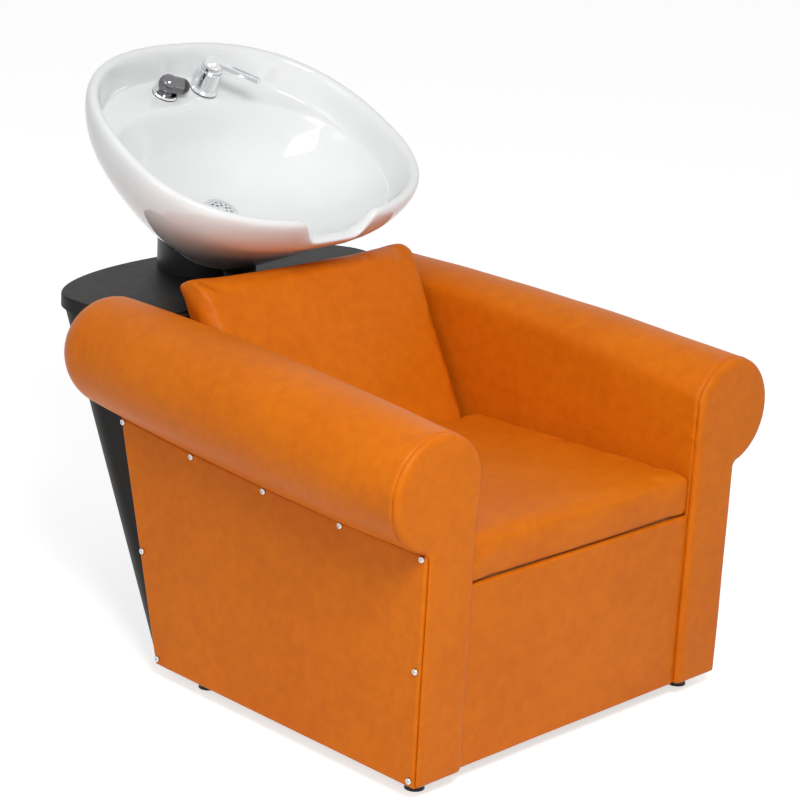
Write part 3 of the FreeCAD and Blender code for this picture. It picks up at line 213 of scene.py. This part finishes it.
def plain(name, color, rough, metallic=0.0, spread=0.05, scale=120.0, depth=0.05, coat=0.0, shine=0.5):
    # moulded or metal surface with slight unevenness in colour, polish and height
    mat, tree, shader = new_material(name)
    where = place(tree)
    cloud = noise_at(tree, where, scale, 4.0)
    darker = tuple((1.0 - 2 * spread) * c for c in color[:3]) + (1.0,)
    tree.links.new(ramp(tree, cloud, 0.3, 0.7, darker, color), shader.inputs["Base Color"])
    polish = remap(tree, cloud, max(rough - spread, 0.02), rough + spread)
    tree.links.new(polish, shader.inputs["Roughness"])
    tree.links.new(bump(tree, cloud, depth, 0.0004), shader.inputs["Normal"])
    shader.inputs["Metallic"].default_value = metallic
    shader.inputs["Coat Weight"].default_value = coat
    shader.inputs["Specular IOR Level"].default_value = shine
    return mat


def glaze(name):
    # fired white glaze: smooth, very slightly wavy, a touch darker where it pools
    mat, tree, shader = new_material(name)
    where = place(tree)
    pool = noise_at(tree, where, 5.0, 2.0)
    tint = ramp(tree, pool, 0.3, 0.7, (0.79, 0.80, 0.80, 1.0), (0.84, 0.85, 0.855, 1.0))
    tree.links.new(tint, shader.inputs["Base Color"])
    wave = noise_at(tree, where, 26.0, 1.0)
    tree.links.new(bump(tree, wave, 0.05, 0.0012), shader.inputs["Normal"])
    tree.links.new(remap(tree, wave, 0.05, 0.09), shader.inputs["Roughness"])
    shader.inputs["Specular IOR Level"].default_value = 0.55
    return mat


def plywood(name):
    # bare timber: long fibres along the depth
    mat, tree, shader = new_material(name)
    where = place(tree)
    stretch = add(tree, "ShaderNodeMapping")
    stretch.inputs["Scale"].default_value = (60.0, 6.0, 60.0)
    tree.links.new(where, stretch.inputs["Vector"])
    fibre = noise_at(tree, stretch.outputs["Vector"], 2.0, 6.0, 0.6)
    tint = ramp(tree, fibre, 0.3, 0.7, (0.33, 0.20, 0.10, 1.0), (0.55, 0.38, 0.22, 1.0))
    tree.links.new(tint, shader.inputs["Base Color"])
    tree.links.new(bump(tree, fibre, 0.2, 0.0006), shader.inputs["Normal"])
    shader.inputs["Roughness"].default_value = 0.72
    return mat


ORANGE = vinyl("orange_vinyl", (0.705, 0.174, 0.005, 1.0), (0.615, 0.139, 0.003, 1.0), 0.42, 0.16, 0.11)
BLACK = vinyl("black_vinyl", (0.012, 0.010, 0.0088, 1.0), (0.007, 0.0058, 0.005, 1.0), 0.48, 0.30, 0.11)
CERAMIC = glaze("white_glaze")
CHROME = plain("chrome", (0.78, 0.79, 0.80, 1.0), 0.07, 1.0, 0.02, 60.0, 0.02)
ZINC = plain("zinc_steel", (0.62, 0.62, 0.61, 1.0), 0.28, 1.0, 0.08, 300.0, 0.10)
# chrome with its colour darkened: a painted dark reflection of the room, for the handset's head
CHROME_PAINTED_DARK_REFLECTION = plain("chrome_painted_dark_reflection", (0.20, 0.20, 0.21, 1.0), 0.07, 1.0, 0.02, 60.0, 0.02)
PLASTIC = plain("black_plastic", (0.012, 0.012, 0.012, 1.0), 0.36, 0.0, 0.06, 500.0, 0.12, shine=0.3)
GLOSS = plain("gloss_black", (0.010, 0.010, 0.011, 1.0), 0.10, 0.0, 0.03, 80.0, 0.02, 0.4)
RUBBER = plain("black_rubber", (0.020, 0.020, 0.020, 1.0), 0.62, 0.0, 0.08, 700.0, 0.25)
NYLON = plain("natural_nylon", (0.70, 0.67, 0.58, 1.0), 0.45, 0.0, 0.05, 300.0, 0.1)
WOOD = plywood("plywood")
BY_SLOT = {
    "orange_vinyl_pad": ORANGE, "orange_vinyl_board": ORANGE, "black_board": BLACK, "frame_wood": WOOD,
    "black_plastic": PLASTIC, "black_rubber": RUBBER, "white_ceramic": CERAMIC, "chrome": CHROME,
    "zinc_steel": ZINC, "washer_plastic": NYLON,
}


def dress_frame():
    for part in frame["record"]["subparts"]:
        obj = nodes[part["node"]]
        obj.data.materials.clear()
        obj.data.materials.append(BY_SLOT[part["material_slot"]])
    nodes["handset_face"].data.materials[0] = GLOSS
    # the handset's head gets the darkened chrome, a painted dark reflection
    nodes["handset_head"].data.materials[0] = CHROME_PAINTED_DARK_REFLECTION


# Mesh helpers

def link(name, mesh):
    obj = bpy.data.objects.new(name, mesh)
    scene.collection.objects.link(obj)
    return obj


def from_lists(name, verts, faces):
    mesh = bpy.data.meshes.new(name)
    mesh.from_pydata([tuple(v) for v in verts], [], faces)
    mesh.validate()
    mesh.update()
    return link(name, mesh)


def coords(mesh):
    co = np.empty(len(mesh.vertices) * 3)
    mesh.vertices.foreach_get("co", co)
    return co.reshape(-1, 3)


def normals(mesh):
    no = np.empty(len(mesh.vertices) * 3)
    mesh.vertices.foreach_get("normal", no)
    return no.reshape(-1, 3)


def set_coords(mesh, co):
    mesh.vertices.foreach_set("co", np.ascontiguousarray(co).ravel())
    mesh.update()


def bake(obj):
    # the modifiers' result becomes the object's own mesh
    bpy.context.view_layer.update()
    graph = bpy.context.evaluated_depsgraph_get()
    mesh = bpy.data.meshes.new_from_object(obj.evaluated_get(graph))
    old = obj.data
    obj.modifiers.clear()
    obj.data = mesh
    bpy.data.meshes.remove(old)
    return obj


def modify(obj, kind, **values):
    mod = obj.modifiers.new(kind.lower(), kind)
    for key, value in values.items():
        setattr(mod, key, value)
    return bake(obj)


def smooth_look(obj, angle=None):
    obj.data.shade_smooth()
    if angle:
        obj.data.set_sharp_from_angle(angle=math.radians(angle))
    return obj


def finish_piece(obj, mat, body, slot, *replaced, angle=None):
    obj.data.materials.clear()
    obj.data.materials.append(mat)
    smooth_look(obj, angle)
    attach(obj, body)
    if replaced:
        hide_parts(*replaced)
    return obj


def copy_of(node, name, voxel):
    obj = link(name, nodes[node].data.copy())
    return modify(obj, "REMESH", mode="VOXEL", voxel_size=voxel)


def relax(obj, factor, times):
    return modify(obj, "SMOOTH", factor=factor, iterations=times)


def rows_to_faces(rows, count, closed):
    faces = []
    for r in range(rows if closed else rows - 1):
        for c in range(count):
            a = r * count + c
            b = r * count + (c + 1) % count
            up = ((r + 1) % rows) * count
            faces.append((a, b, up + (c + 1) % count, up + c))
    return faces


def outward(obj):
    # all faces look out of the closed piece
    work = bmesh.new()
    work.from_mesh(obj.data)
    bmesh.ops.recalc_face_normals(work, faces=work.faces)
    work.to_mesh(obj.data)
    work.free()
    return obj


def ease(value, start, span):
    # 0 before start, 1 after the span, straight between
    return np.clip((value - start) / span, 0.0, 1.0)


def lumps(co, scale, seed):
    # slow random heights, the same each run
    shift = Vector((seed * 7.31, seed * 3.17, seed * 5.77))
    return np.array([noise.noise(Vector(p) * scale + shift) for p in co])


# Upholstery

def roll_axis(y):
    # centre and radius of an arm's roll at a given depth
    share = ease(y, FRONT, ROLL_LENGTH)
    x = ROLL_X - (y - FRONT) * ROLL_TOE
    z = ROLL_Z + (y - FRONT) * ROLL_SLOPE
    return x, z, ROLL_R + ROLL_SWELL * share * (1 - share)


def cut_loops(obj, planes):
    # edge loops round the piece where it is crossed by planes of constant y
    work = bmesh.new()
    work.from_mesh(obj.data)
    for y in planes:
        everything = work.verts[:] + work.edges[:] + work.faces[:]
        bmesh.ops.bisect_plane(work, geom=everything, plane_co=(0, y, 0), plane_no=(0, 1, 0), dist=1e-6)
    work.to_mesh(obj.data)
    work.free()
    obj.data.update()


def seat_under(y):
    # underside of the seat pad
    return SEAT_BASE - (y - FRONT) * SEAT_SLOPE


def inner_padding(inward, y, z):
    # how far the cover's inner wall stands in from the core, above the seat and down the leg
    core = ARM_FACE - (ARM_FACE - ARM_WALL) * ease(z, STEP_LOW, STEP_RISE)
    beside_seat = ease(z, seat_under(y) + 0.004, 0.010)
    on_leg = ease(-y, -BEHIND_FRONT, 0.003)
    skin = ease(-inward, -0.300, 0.016)
    return (core - ARM_WALL) * np.maximum(beside_seat, on_leg) * skin


def soften_shoulder(obj, sign):
    # the roll runs into the arm's inner wall in one soft curve
    co = coords(obj.data)
    roll_x, roll_z, r = roll_axis(co[:, 1])
    up = (co[:, 2] - roll_z) / r
    near = ease(roll_x - sign * co[:, 0], 0.020, 0.015)
    near = near * ease(up, 0.05, 0.15) * ease(-up, -1.02, 0.12)
    near = near * ease(co[:, 1], SEAM + 0.010, 0.040)
    group = obj.vertex_groups.new(name="shoulder")
    for index in np.nonzero(near > 0.01)[0]:
        group.add([int(index)], float(near[index]), "REPLACE")
    modify(obj, "SMOOTH", factor=0.5, iterations=90, vertex_group="shoulder")
    obj.vertex_groups.clear()


def arm_cover(side):
    # roll arm with its front panel sewn in: a seam groove just behind the front edge
    sign = 1.0 if side == "right" else -1.0
    obj = copy_of("arm_pad_" + side, "arm_cover_" + side, ARM_VOXEL)
    relax(obj, 0.5, 6)
    soften_shoulder(obj, sign)
    cut_loops(obj, [SEAM + d for d in (-0.006, -0.003, -0.0012, 0.0, 0.0012, 0.003, 0.006)])
    co = coords(obj.data)
    no = normals(obj.data)
    dy = co[:, 1] - SEAM
    roll_x, roll_z, _ = roll_axis(co[:, 1])
    turn = np.arctan2(co[:, 2] - roll_z, sign * co[:, 0] - roll_x)
    stitch = -0.0021 * np.exp(-(dy / 0.0016) ** 2)
    groove = stitch + 0.0006 * np.exp(-((np.abs(dy) - 0.0065) / 0.004) ** 2)
    along = np.stack([turn * 5.5, np.where(dy > 0, dy, 0.0) * 9.0, np.zeros(len(co))], 1)
    pucker = lumps(along, 1.0, 2 if sign > 0 else 5) * 0.0012
    pucker = pucker * np.exp(-np.abs(dy) / 0.035) * (dy > -0.004)
    slow = lumps(co, 7.0, 1 if sign > 0 else 4) * 0.0012
    co = co + no * (groove + pucker + slow)[:, None]
    inward = sign * co[:, 0]
    padded = inward - inner_padding(inward, co[:, 1], co[:, 2])
    co[:, 0] = sign * np.maximum(padded, np.minimum(inward, ARM_WALL))
    set_coords(obj.data, co)
    finish_piece(obj, ORANGE, "chair", "orange_vinyl_pad", "arm_pad_" + side)


def swell(obj, cap, pressure):
    # short cloth run: the skin fills out, and no point moves further than the cap
    before = coords(obj.data).copy()
    mod = obj.modifiers.new("cloth", "CLOTH")
    mod.settings.quality = 4
    mod.settings.mass = 0.3
    mod.settings.tension_stiffness = 18.0
    mod.settings.compression_stiffness = 18.0
    mod.settings.bending_stiffness = 2.0
    mod.settings.use_pressure = True
    mod.settings.uniform_pressure_force = pressure
    mod.settings.effector_weights.gravity = 0.0
    mod.point_cache.frame_start = 1
    mod.point_cache.frame_end = CLOTH_FRAMES
    for f in range(1, CLOTH_FRAMES + 1):
        scene.frame_set(f)
    bake(obj)
    scene.frame_set(1)
    after = coords(obj.data)
    move = after - before
    length = np.linalg.norm(move, axis=1)
    share = np.minimum(1.0, cap / np.maximum(length, 1e-9))
    set_coords(obj.data, before + move * share[:, None])


def cushion(node, name, bounds, seed, fit=None):
    # bounds: planes (normal, distance) that the pad stays behind; fit: a last move of its points
    obj = copy_of(node, name, PAD_VOXEL)
    relax(obj, 0.5, 2)
    set_coords(obj.data, coords(obj.data) - normals(obj.data) * PAD_SHRINK)
    swell(obj, PAD_CAP, PAD_PRESSURE)
    relax(obj, 0.4, 2)
    modify(obj, "SUBSURF", levels=1, render_levels=1)
    co = coords(obj.data)
    co = co + normals(obj.data) * (lumps(co, 9.0, seed) * 0.0011)[:, None]
    for normal, reach in bounds:
        over = co @ np.array(normal) - reach
        co = co - np.maximum(over, 0.0)[:, None] * np.array(normal)
    set_coords(obj.data, fit(co) if fit else co)
    finish_piece(obj, ORANGE, "chair", "orange_vinyl_pad", node)


def between(half):
    # the two planes of an upright slot
    return [((1.0, 0.0, 0.0), half), ((-1.0, 0.0, 0.0), half)]


def settle_seat(co):
    # the seat fits between the arm covers, sinks towards its front and laps the front board
    high = co[:, 2] - seat_under(co[:, 1])
    sink = 0.014 - 0.011 * ease(co[:, 1], FRONT, 0.50)
    co[:, 2] -= sink * ease(high, 0.0, 0.070)
    lip = ease(-co[:, 1], -BEHIND_FRONT, 0.004) * (1.0 - ease(high, 0.0, 0.030))
    tuck = 0.6 * np.maximum(high, 0.0) * (1.0 - ease(high, 0.0, 0.020)) * (lip > 0)
    co[:, 2] -= SEAT_LIP * lip + tuck
    co[:, 0] *= SEAT_SIDE / np.abs(co[:, 0]).max()
    return co


def seat_and_back():
    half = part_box("seat_cushion")[1].x
    face = np.array((0.0, math.cos(BACK_LEAN), -math.sin(BACK_LEAN)))
    under = np.array((0.0, -math.sin(SEAT_TILT), -math.cos(SEAT_TILT)))
    seat_base = float(under @ np.array((0.0, FRONT, SEAT_BASE)))
    cushion("seat_cushion", "seat_pad", between(half) + [(tuple(under), seat_base)], 3, settle_seat)
    behind = float(face @ np.array(BACK_FOOT)) + BACK_PAD
    cushion("back_cushion", "back_pad", between(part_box("back_cushion")[1].x) + [(tuple(face), behind)], 6)


def spread(n):
    # steps from 0 to 1, finer towards both ends
    t = np.linspace(0.0, 1.0, n)
    return 0.5 - 0.5 * np.cos(np.pi * t) * (0.72 + 0.28 * np.abs(np.cos(np.pi * t)))


def board(corners, thick, across, rest, dimples):
    # vinyl-covered board: flat back, soft edge, small dimples at its screws; corners run round the face
    count_u = 150
    count_v = 96
    u, v = np.meshgrid(spread(count_u), spread(count_v), indexing="ij")
    a, b, c, d = (np.array(p) for p in corners)
    flat = ((1 - u) * (1 - v))[..., None] * a + (u * (1 - v))[..., None] * b
    flat = flat + (u * v)[..., None] * c + ((1 - u) * v)[..., None] * d
    gap = np.full(u.shape, 1.0)
    for p, q in ((a, b), (b, c), (c, d), (d, a)):
        side = (q - p) / np.linalg.norm(q - p)
        rel = flat - p
        gap = np.minimum(gap, np.abs(rel[..., 0] * side[1] - rel[..., 1] * side[0]))
    inside = ease(gap, 0.0, BOARD_EDGE)
    height = thick - BOARD_EDGE + BOARD_EDGE * np.sqrt(1.0 - (1.0 - inside) ** 2)
    for p in dimples:
        far = np.linalg.norm(flat - np.array(p), axis=-1)
        height = height - 0.0013 * np.exp(-(far / 0.0085) ** 2)
    top = [across * (rest + h) for h in height.ravel()]
    spots = flat.reshape(-1, 2)
    return count_u, count_v, top, spots


def closed_board(name, count_u, count_v, surface, floor):
    # surface and floor: matching grids of points, joined round their edges
    n = count_u * count_v
    faces = []
    for i in range(count_u - 1):
        for j in range(count_v - 1):
            p = i * count_v + j
            faces.append((p, p + count_v, p + count_v + 1, p + 1))
    rim = [i * count_v for i in range(count_u)]
    rim += [(count_u - 1) * count_v + j for j in range(1, count_v)]
    rim += [i * count_v + count_v - 1 for i in range(count_u - 2, -1, -1)]
    rim += list(range(count_v - 2, 0, -1))
    low = {k: n + i for i, k in enumerate(rim)}
    verts = np.concatenate([surface, floor[rim]])
    for i, k in enumerate(rim):
        m = rim[(i + 1) % len(rim)]
        faces.append((m, k, low[k], low[m]))
    faces.append(tuple(n + i for i in range(len(rim))))
    return outward(from_lists(name, verts, faces))


def screw_spots():
    # the heads' centres on a side panel, measured from the CAD screws
    co = coords(nodes["panel_screws_right"].data)
    heads = co[co[:, 0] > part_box("side_panel_right")[1].x + 0.0005]
    groups = []
    for p in heads:
        for g in groups:
            if np.linalg.norm(g[0] - p) < 0.014:
                g.append(p)
                break
        else:
            groups.append([p])
    return [tuple(0.5 * (np.min(g, 0) + np.max(g, 0))[1:]) for g in groups]


def panel_top(y):
    # the board's top edge follows the underside of the roll
    x, z, r = roll_axis(y)
    return z - np.sqrt(r ** 2 - (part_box("side_panel_right")[1].x - x) ** 2) - PANEL_GAP


def side_panels():
    spots = screw_spots()
    low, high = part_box("side_panel_right")
    mesh = coords(nodes["side_panel_right"].data)
    bottom_rear = mesh[mesh[:, 2] < low.z + 0.004][:, 1].max()
    corners = [(low.y, low.z), (bottom_rear, low.z), (high.y, high.z), (low.y, panel_top(low.y))]
    for side, sign in (("left", -1.0), ("right", 1.0)):
        count_u, count_v, top, flat = board(corners, high.x - low.x, sign, low.x, spots)
        share = (flat[:, 0] - low.y) / (high.y - low.y)
        straight = corners[3][1] + (high.z - corners[3][1]) * share
        flat[:, 1] = low.z + (flat[:, 1] - low.z) * (panel_top(flat[:, 0]) - low.z) / (straight - low.z)
        surface = np.column_stack([top, flat])
        floor = np.column_stack([np.full(len(flat), sign * low.x), flat])
        obj = closed_board("side_board_" + side, count_u, count_v, surface, floor)
        co = coords(obj.data)
        puff = lumps(co, 5.0, 8) * 0.0009
        co[:, 0] += np.where(np.abs(co[:, 0]) > low.x + 0.008, sign * np.minimum(puff, 0.0), 0.0)
        set_coords(obj.data, co)
        finish_piece(obj, ORANGE, "chair", "orange_vinyl_board", "side_panel_" + side, angle=50)


def front_board():
    low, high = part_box("front_panel")
    top_edge = high.z - SEAT_LIP
    corners = [(-SEAT_SIDE, low.z), (SEAT_SIDE, low.z), (SEAT_SIDE, top_edge), (-SEAT_SIDE, top_edge)]
    count_u, count_v, top, flat = board(corners, high.y - low.y, -1.0, -high.y, [])
    surface = np.column_stack([flat[:, 0], top, flat[:, 1]])
    floor = np.column_stack([flat[:, 0], np.full(len(flat), high.y), flat[:, 1]])
    obj = closed_board("front_board", count_u, count_v, surface, floor)
    co = coords(obj.data)
    puff = lumps(co, 5.0, 9) * 0.0010
    co[:, 1] += np.where(co[:, 1] < low.y + 0.004, np.maximum(puff, 0.0), 0.0)
    set_coords(obj.data, co)
    finish_piece(obj, ORANGE, "chair", "orange_vinyl_board", "front_panel", angle=50)


def screw_head(centre, sign, turn):
    # pan head with a cross recess, and its shank
    rings = 12
    count = 40
    spokes = [2 * math.pi * c / count for c in range(count)]
    verts = []
    for k in range(rings):
        r = HEAD_R * (1 - k / rings)
        for a in spokes:
            p = abs(r * math.cos(a))
            q = abs(r * math.sin(a))
            arm = min(max(p - CROSS_REACH, q - CROSS_HALF), max(q - CROSS_REACH, p - CROSS_HALF))
            h = HEAD_TALL * (0.34 + 0.66 * math.sqrt(max(0.0, 1 - (r / HEAD_R) ** 2)))
            h -= CROSS_DEPTH * min(1.0, max(0.0, 0.5 - arm / 0.0006))
            verts.append((h, r * math.cos(a + turn), r * math.sin(a + turn)))
    faces = rows_to_faces(rings, count, False)
    verts.append((HEAD_TALL - 0.0017, 0.0, 0.0))
    last = (rings - 1) * count
    faces += [(last + c, last + (c + 1) % count, rings * count) for c in range(count)]
    base = len(verts)
    for r, h in ((HEAD_R, 0.0), (SHANK_R, 0.0), (SHANK_R, -0.0315), (0.0004, -0.0335)):
        verts += [(h, r * math.cos(a + turn), r * math.sin(a + turn)) for a in spokes]
    faces += [(c, base + c, base + (c + 1) % count, (c + 1) % count) for c in range(count)]
    for r in range(3):
        for c in range(count):
            a = base + r * count
            faces.append((a + c, a + count + c, a + count + (c + 1) % count, a + (c + 1) % count))
    faces.append(tuple(base + 3 * count + c for c in range(count)))
    x0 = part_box("side_panel_right")[1].x
    return [(sign * (x0 + h), centre[0] + y, centre[1] + z) for h, y, z in verts], faces


def screws():
    for side, sign in (("left", -1.0), ("right", 1.0)):
        verts = []
        faces = []
        for i, spot in enumerate(screw_spots()):
            points, flat = screw_head(spot, sign, 0.4 + 1.7 * i)
            faces += [tuple(len(verts) + k for k in f) for f in flat]
            verts += points
        obj = outward(from_lists("screw_heads_" + side, verts, faces))
        finish_piece(obj, ZINC, "chair", "zinc_steel", "panel_screws_" + side, angle=40)


# Basin

def disc(n, r):
    # a round row about the drain
    return (n, r, DRAIN_Y + r, DRAIN_Y - r, 2.0)


def bowl_rows():
    # level, half width, rear, front, power: up the outside, over the rim, down the inside
    half = RIM_HALF
    rear = RIM_REAR
    front = RIM_FRONT
    return [
        disc(-0.2000, 0.0224), disc(-0.2000, 0.0600), disc(-0.2000, 0.0810), disc(-0.2020, 0.0836),
        disc(-0.2150, 0.0840), disc(-0.2360, 0.0840), disc(-0.2385, 0.0850), disc(-0.2392, 0.0880),
        disc(-0.2392, 0.0920), disc(-0.2382, 0.0950), disc(-0.2350, 0.0975),
        (-0.2250, 0.1080, 0.0580, -0.1580, 2.0),
        (-0.1950, half - 0.1460, rear - 0.1120, front + 0.1260, 2.05),
        (-0.1650, half - 0.1070, rear - 0.0920, front + 0.0990, 2.12),
        (-0.1350, half - 0.0720, rear - 0.0760, front + 0.0760, 2.2),
        (-0.1000, half - 0.0370, rear - 0.0460, front + 0.0450, 2.28),
        (-0.0700, half - 0.0140, rear - 0.0240, front + 0.0140, 2.35),
        (-0.0400, half - 0.0035, rear - 0.0070, front + 0.0040, 2.38),
        (-0.0180, half, rear - 0.0010, front, 2.4),
        (-0.0070, half - 0.0010, rear - 0.0015, front + 0.0008, 2.4),
        (-0.0015, half - 0.0045, rear - 0.0050, front + 0.0042, 2.4),
        (0.0000, half - 0.0090, rear - 0.0090, front + 0.0085, 2.4),
        (-0.0008, half - 0.0140, rear - 0.0140, front + 0.0135, 2.4),
        (-0.0035, half - 0.0175, rear - 0.0175, front + 0.0170, 2.4),
        (-0.0100, half - 0.0205, rear - 0.0210, front + 0.0205, 2.4),
        (-0.0300, half - 0.0260, rear - 0.0265, front + 0.0275, 2.4),
        (-0.0480, half - 0.0310, rear - 0.0315, front + 0.0335, 2.4),
        (-0.0570, half - 0.0346, rear - 0.0340, front + 0.0372, 2.4),
        (-0.0596, half - 0.0358, rear - 0.0380, front + 0.0384, 2.4),
        (-0.0600, half - 0.0362, rear - 0.0580, front + 0.0388, 2.39),
        (-0.0602, half - 0.0366, 0.1120, front + 0.0393, 2.38),
        (-0.0612, half - 0.0374, 0.1020, front + 0.0402, 2.37),
        (-0.0660, half - 0.0400, 0.0965, front + 0.0430, 2.35),
        (-0.0800, half - 0.0490, 0.0900, front + 0.0525, 2.31),
        (-0.0950, half - 0.0610, 0.0830, front + 0.0650, 2.26),
        (-0.1200, half - 0.0860, 0.0720, front + 0.0910, 2.2),
        (-0.1400, half - 0.1120, 0.0570, front + 0.1180, 2.15),
        (-0.1580, half - 0.1470, 0.0380, front + 0.1490, 2.1),
        (-0.1720, half - 0.1900, 0.0170, front + 0.1800, 2.05),
        (-0.1800, 0.0700, 0.0020, -0.1120, 2.0),
        disc(-0.1835, 0.0480), disc(-0.1840, 0.0400), disc(-0.1840, 0.0300), disc(-0.1846, 0.0236),
        disc(-0.1865, 0.0224),
    ]


def notch_drop(x):
    # depth of the neck rest across the front rim
    t = ease(np.abs(x), NOTCH_FLAT, NOTCH_FLANK)
    return NOTCH_DEPTH * (1.0 - t * t * (3 - 2 * t))


def bowl():
    # closed ceramic shell: rounded rows joined from the drain's underside over the rim to its inside
    count = 208
    spin = np.linspace(0.0, 2 * math.pi, count, endpoint=False)
    spin = spin + 0.10 * np.cos(spin)
    verts = []
    for n, half, rear, front, power in bowl_rows():
        middle = WAIST if front < WAIST - 0.060 else 0.5 * (rear + front)
        c = np.cos(spin)
        s = np.sin(spin)
        x = half * np.sign(c) * np.abs(c) ** (2.0 / power)
        reach = np.where(s > 0, rear - middle, middle - front)
        y = middle + reach * np.sign(s) * np.abs(s) ** (2.0 / power)
        z = np.full(count, n)
        if n > DECK - 0.0005:
            drop = np.where(y < -0.20, notch_drop(x), 0.0)
            z = DECK + (z - DECK) * (DECK + drop) / DECK
        verts.append(np.stack([x, y, z], 1))
    obj = outward(from_lists("basin_bowl", np.concatenate(verts), rows_to_faces(len(verts), count, True)))
    modify(obj, "SUBSURF", levels=1, render_levels=1)
    cutters = [tool_cylinder(Vector((x, FITTINGS_Y, -0.075)), FITTINGS_BORE, 0.06) for x in FITTINGS_X]
    cutters.append(tool_pocket())
    for cutter in cutters:
        modify(obj, "BOOLEAN", operation="DIFFERENCE", solver="EXACT", object=cutter)
        bpy.data.objects.remove(cutter)
    obj.data.transform(BASIN)
    obj.data.update()
    finish_piece(obj, CERAMIC, "basin", "white_ceramic", "bowl", angle=48)


def tool_cylinder(centre, r, length):
    # hole for a fitting's shank
    work = bmesh.new()
    bmesh.ops.create_cone(work, cap_ends=True, segments=48, radius1=r, radius2=r, depth=length)
    bmesh.ops.translate(work, verts=work.verts, vec=centre)
    mesh = bpy.data.meshes.new("tool")
    work.to_mesh(mesh)
    work.free()
    return link("tool", mesh)


def tool_pocket():
    # room under the deck for the fittings' nuts
    half = 0.095
    near = 0.108
    far = 0.166
    bottom = -0.239
    top = -0.074
    r = 0.012
    corners = [(half - r, far - r, 0.0), (r - half, far - r, 90.0)]
    corners += [(r - half, near + r, 180.0), (half - r, near + r, 270.0)]
    ring = []
    for cx, cy, start in corners:
        for i in range(7):
            a = math.radians(start + 15.0 * i)
            ring.append((cx + r * math.cos(a), cy + r * math.sin(a)))
    n = len(ring)
    verts = [(px, py, bottom) for px, py in ring] + [(px, py, top) for px, py in ring]
    faces = [tuple(range(n - 1, -1, -1)), tuple(range(n, 2 * n))]
    faces += [(i, (i + 1) % n, n + (i + 1) % n, n + i) for i in range(n)]
    return from_lists("tool", verts, faces)


# Studio

def camera():
    az = CAMERA_AZIMUTH
    el = CAMERA_ELEVATION
    roll = CAMERA_ROLL
    back = Vector((math.sin(az) * math.cos(el), -math.cos(az) * math.cos(el), math.sin(el)))
    right = Vector((math.cos(az), math.sin(az), 0.0))
    up = back.cross(right)
    across = math.cos(roll) * right + math.sin(roll) * up
    upward = -math.sin(roll) * right + math.cos(roll) * up
    data = bpy.data.cameras.new("photo_camera")
    data.lens = SENSOR * FOCAL_PIXELS / IMAGE_PIXELS
    data.sensor_width = SENSOR
    data.sensor_fit = "HORIZONTAL"
    data.clip_end = 60.0
    obj = bpy.data.objects.new("photo_camera", data)
    scene.collection.objects.link(obj)
    turn = Matrix((across, upward, back)).transposed().to_4x4()
    obj.matrix_world = Matrix.Translation(CAMERA_PLACE) @ turn
    scene.camera = obj


def softbox(name, where, aim, width, height, power):
    data = bpy.data.lights.new(name, "AREA")
    data.shape = "RECTANGLE"
    data.size = width
    data.size_y = height
    data.energy = power
    obj = bpy.data.objects.new(name, data)
    scene.collection.objects.link(obj)
    obj.location = where
    obj.rotation_euler = (Vector(aim) - Vector(where)).to_track_quat("-Z", "Y").to_euler()


def seen_rays(tree):
    # 1 for what the camera sees, straight on, in a reflection or through glass
    path = add(tree, "ShaderNodeLightPath")
    shiny = add(tree, "ShaderNodeMath", operation="MAXIMUM")
    tree.links.new(path.outputs["Is Glossy Ray"], shiny.inputs[0])
    tree.links.new(path.outputs["Is Transmission Ray"], shiny.inputs[1])
    seen = add(tree, "ShaderNodeMath", operation="MAXIMUM")
    tree.links.new(path.outputs["Is Camera Ray"], seen.inputs[0])
    tree.links.new(shiny.outputs[0], seen.inputs[1])
    return seen.outputs[0]


def background(tree, strength):
    node = add(tree, "ShaderNodeBackground")
    node.inputs["Color"].default_value = (1.0, 1.0, 1.0, 1.0)
    node.inputs["Strength"].default_value = strength
    return node


def studio():
    scene.view_settings.view_transform = "Standard"
    world = bpy.data.worlds.new("studio")
    scene.world = world
    world.use_nodes = True
    tree = world.node_tree
    tree.nodes.clear()
    seen = seen_rays(tree)
    room = background(tree, 0.37)
    white = background(tree, 1.0)
    blend = add(tree, "ShaderNodeMixShader")
    out = add(tree, "ShaderNodeOutputWorld")
    tree.links.new(seen, blend.inputs[0])
    tree.links.new(room.outputs[0], blend.inputs[1])
    tree.links.new(white.outputs[0], blend.inputs[2])
    tree.links.new(blend.outputs[0], out.inputs["Surface"])

    floor = from_lists("floor", [(-12, -12, 0), (12, -12, 0), (12, 12, 0), (-12, 12, 0)], [(0, 1, 2, 3)])
    mat, tree, shader = new_material("pale_floor")
    shader.inputs["Base Color"].default_value = (0.88, 0.88, 0.88, 1.0)
    shader.inputs["Roughness"].default_value = 0.9
    shader.inputs["Specular IOR Level"].default_value = 0.1
    shader.inputs["Emission Color"].default_value = (1.0, 1.0, 1.0, 1.0)
    lift = add(tree, "ShaderNodeMath", operation="MULTIPLY")
    lift.inputs[1].default_value = 0.62
    tree.links.new(seen_rays(tree), lift.inputs[0])
    tree.links.new(lift.outputs[0], shader.inputs["Emission Strength"])
    floor.data.materials.append(mat)

    softbox("key", (-1.3, -2.0, 2.6), (0.0, -0.2, 0.4), 1.2, 1.0, 66.0)
    softbox("left", (-4.0, -0.6, 2.6), (0.0, 0.0, 0.5), 2.0, 2.0, 22.0)


def main():
    dress_frame()
    camera()
    studio()
    for side in ("left", "right"):
        arm_cover(side)
    seat_and_back()
    side_panels()
    front_board()
    screws()
    bowl()


main()
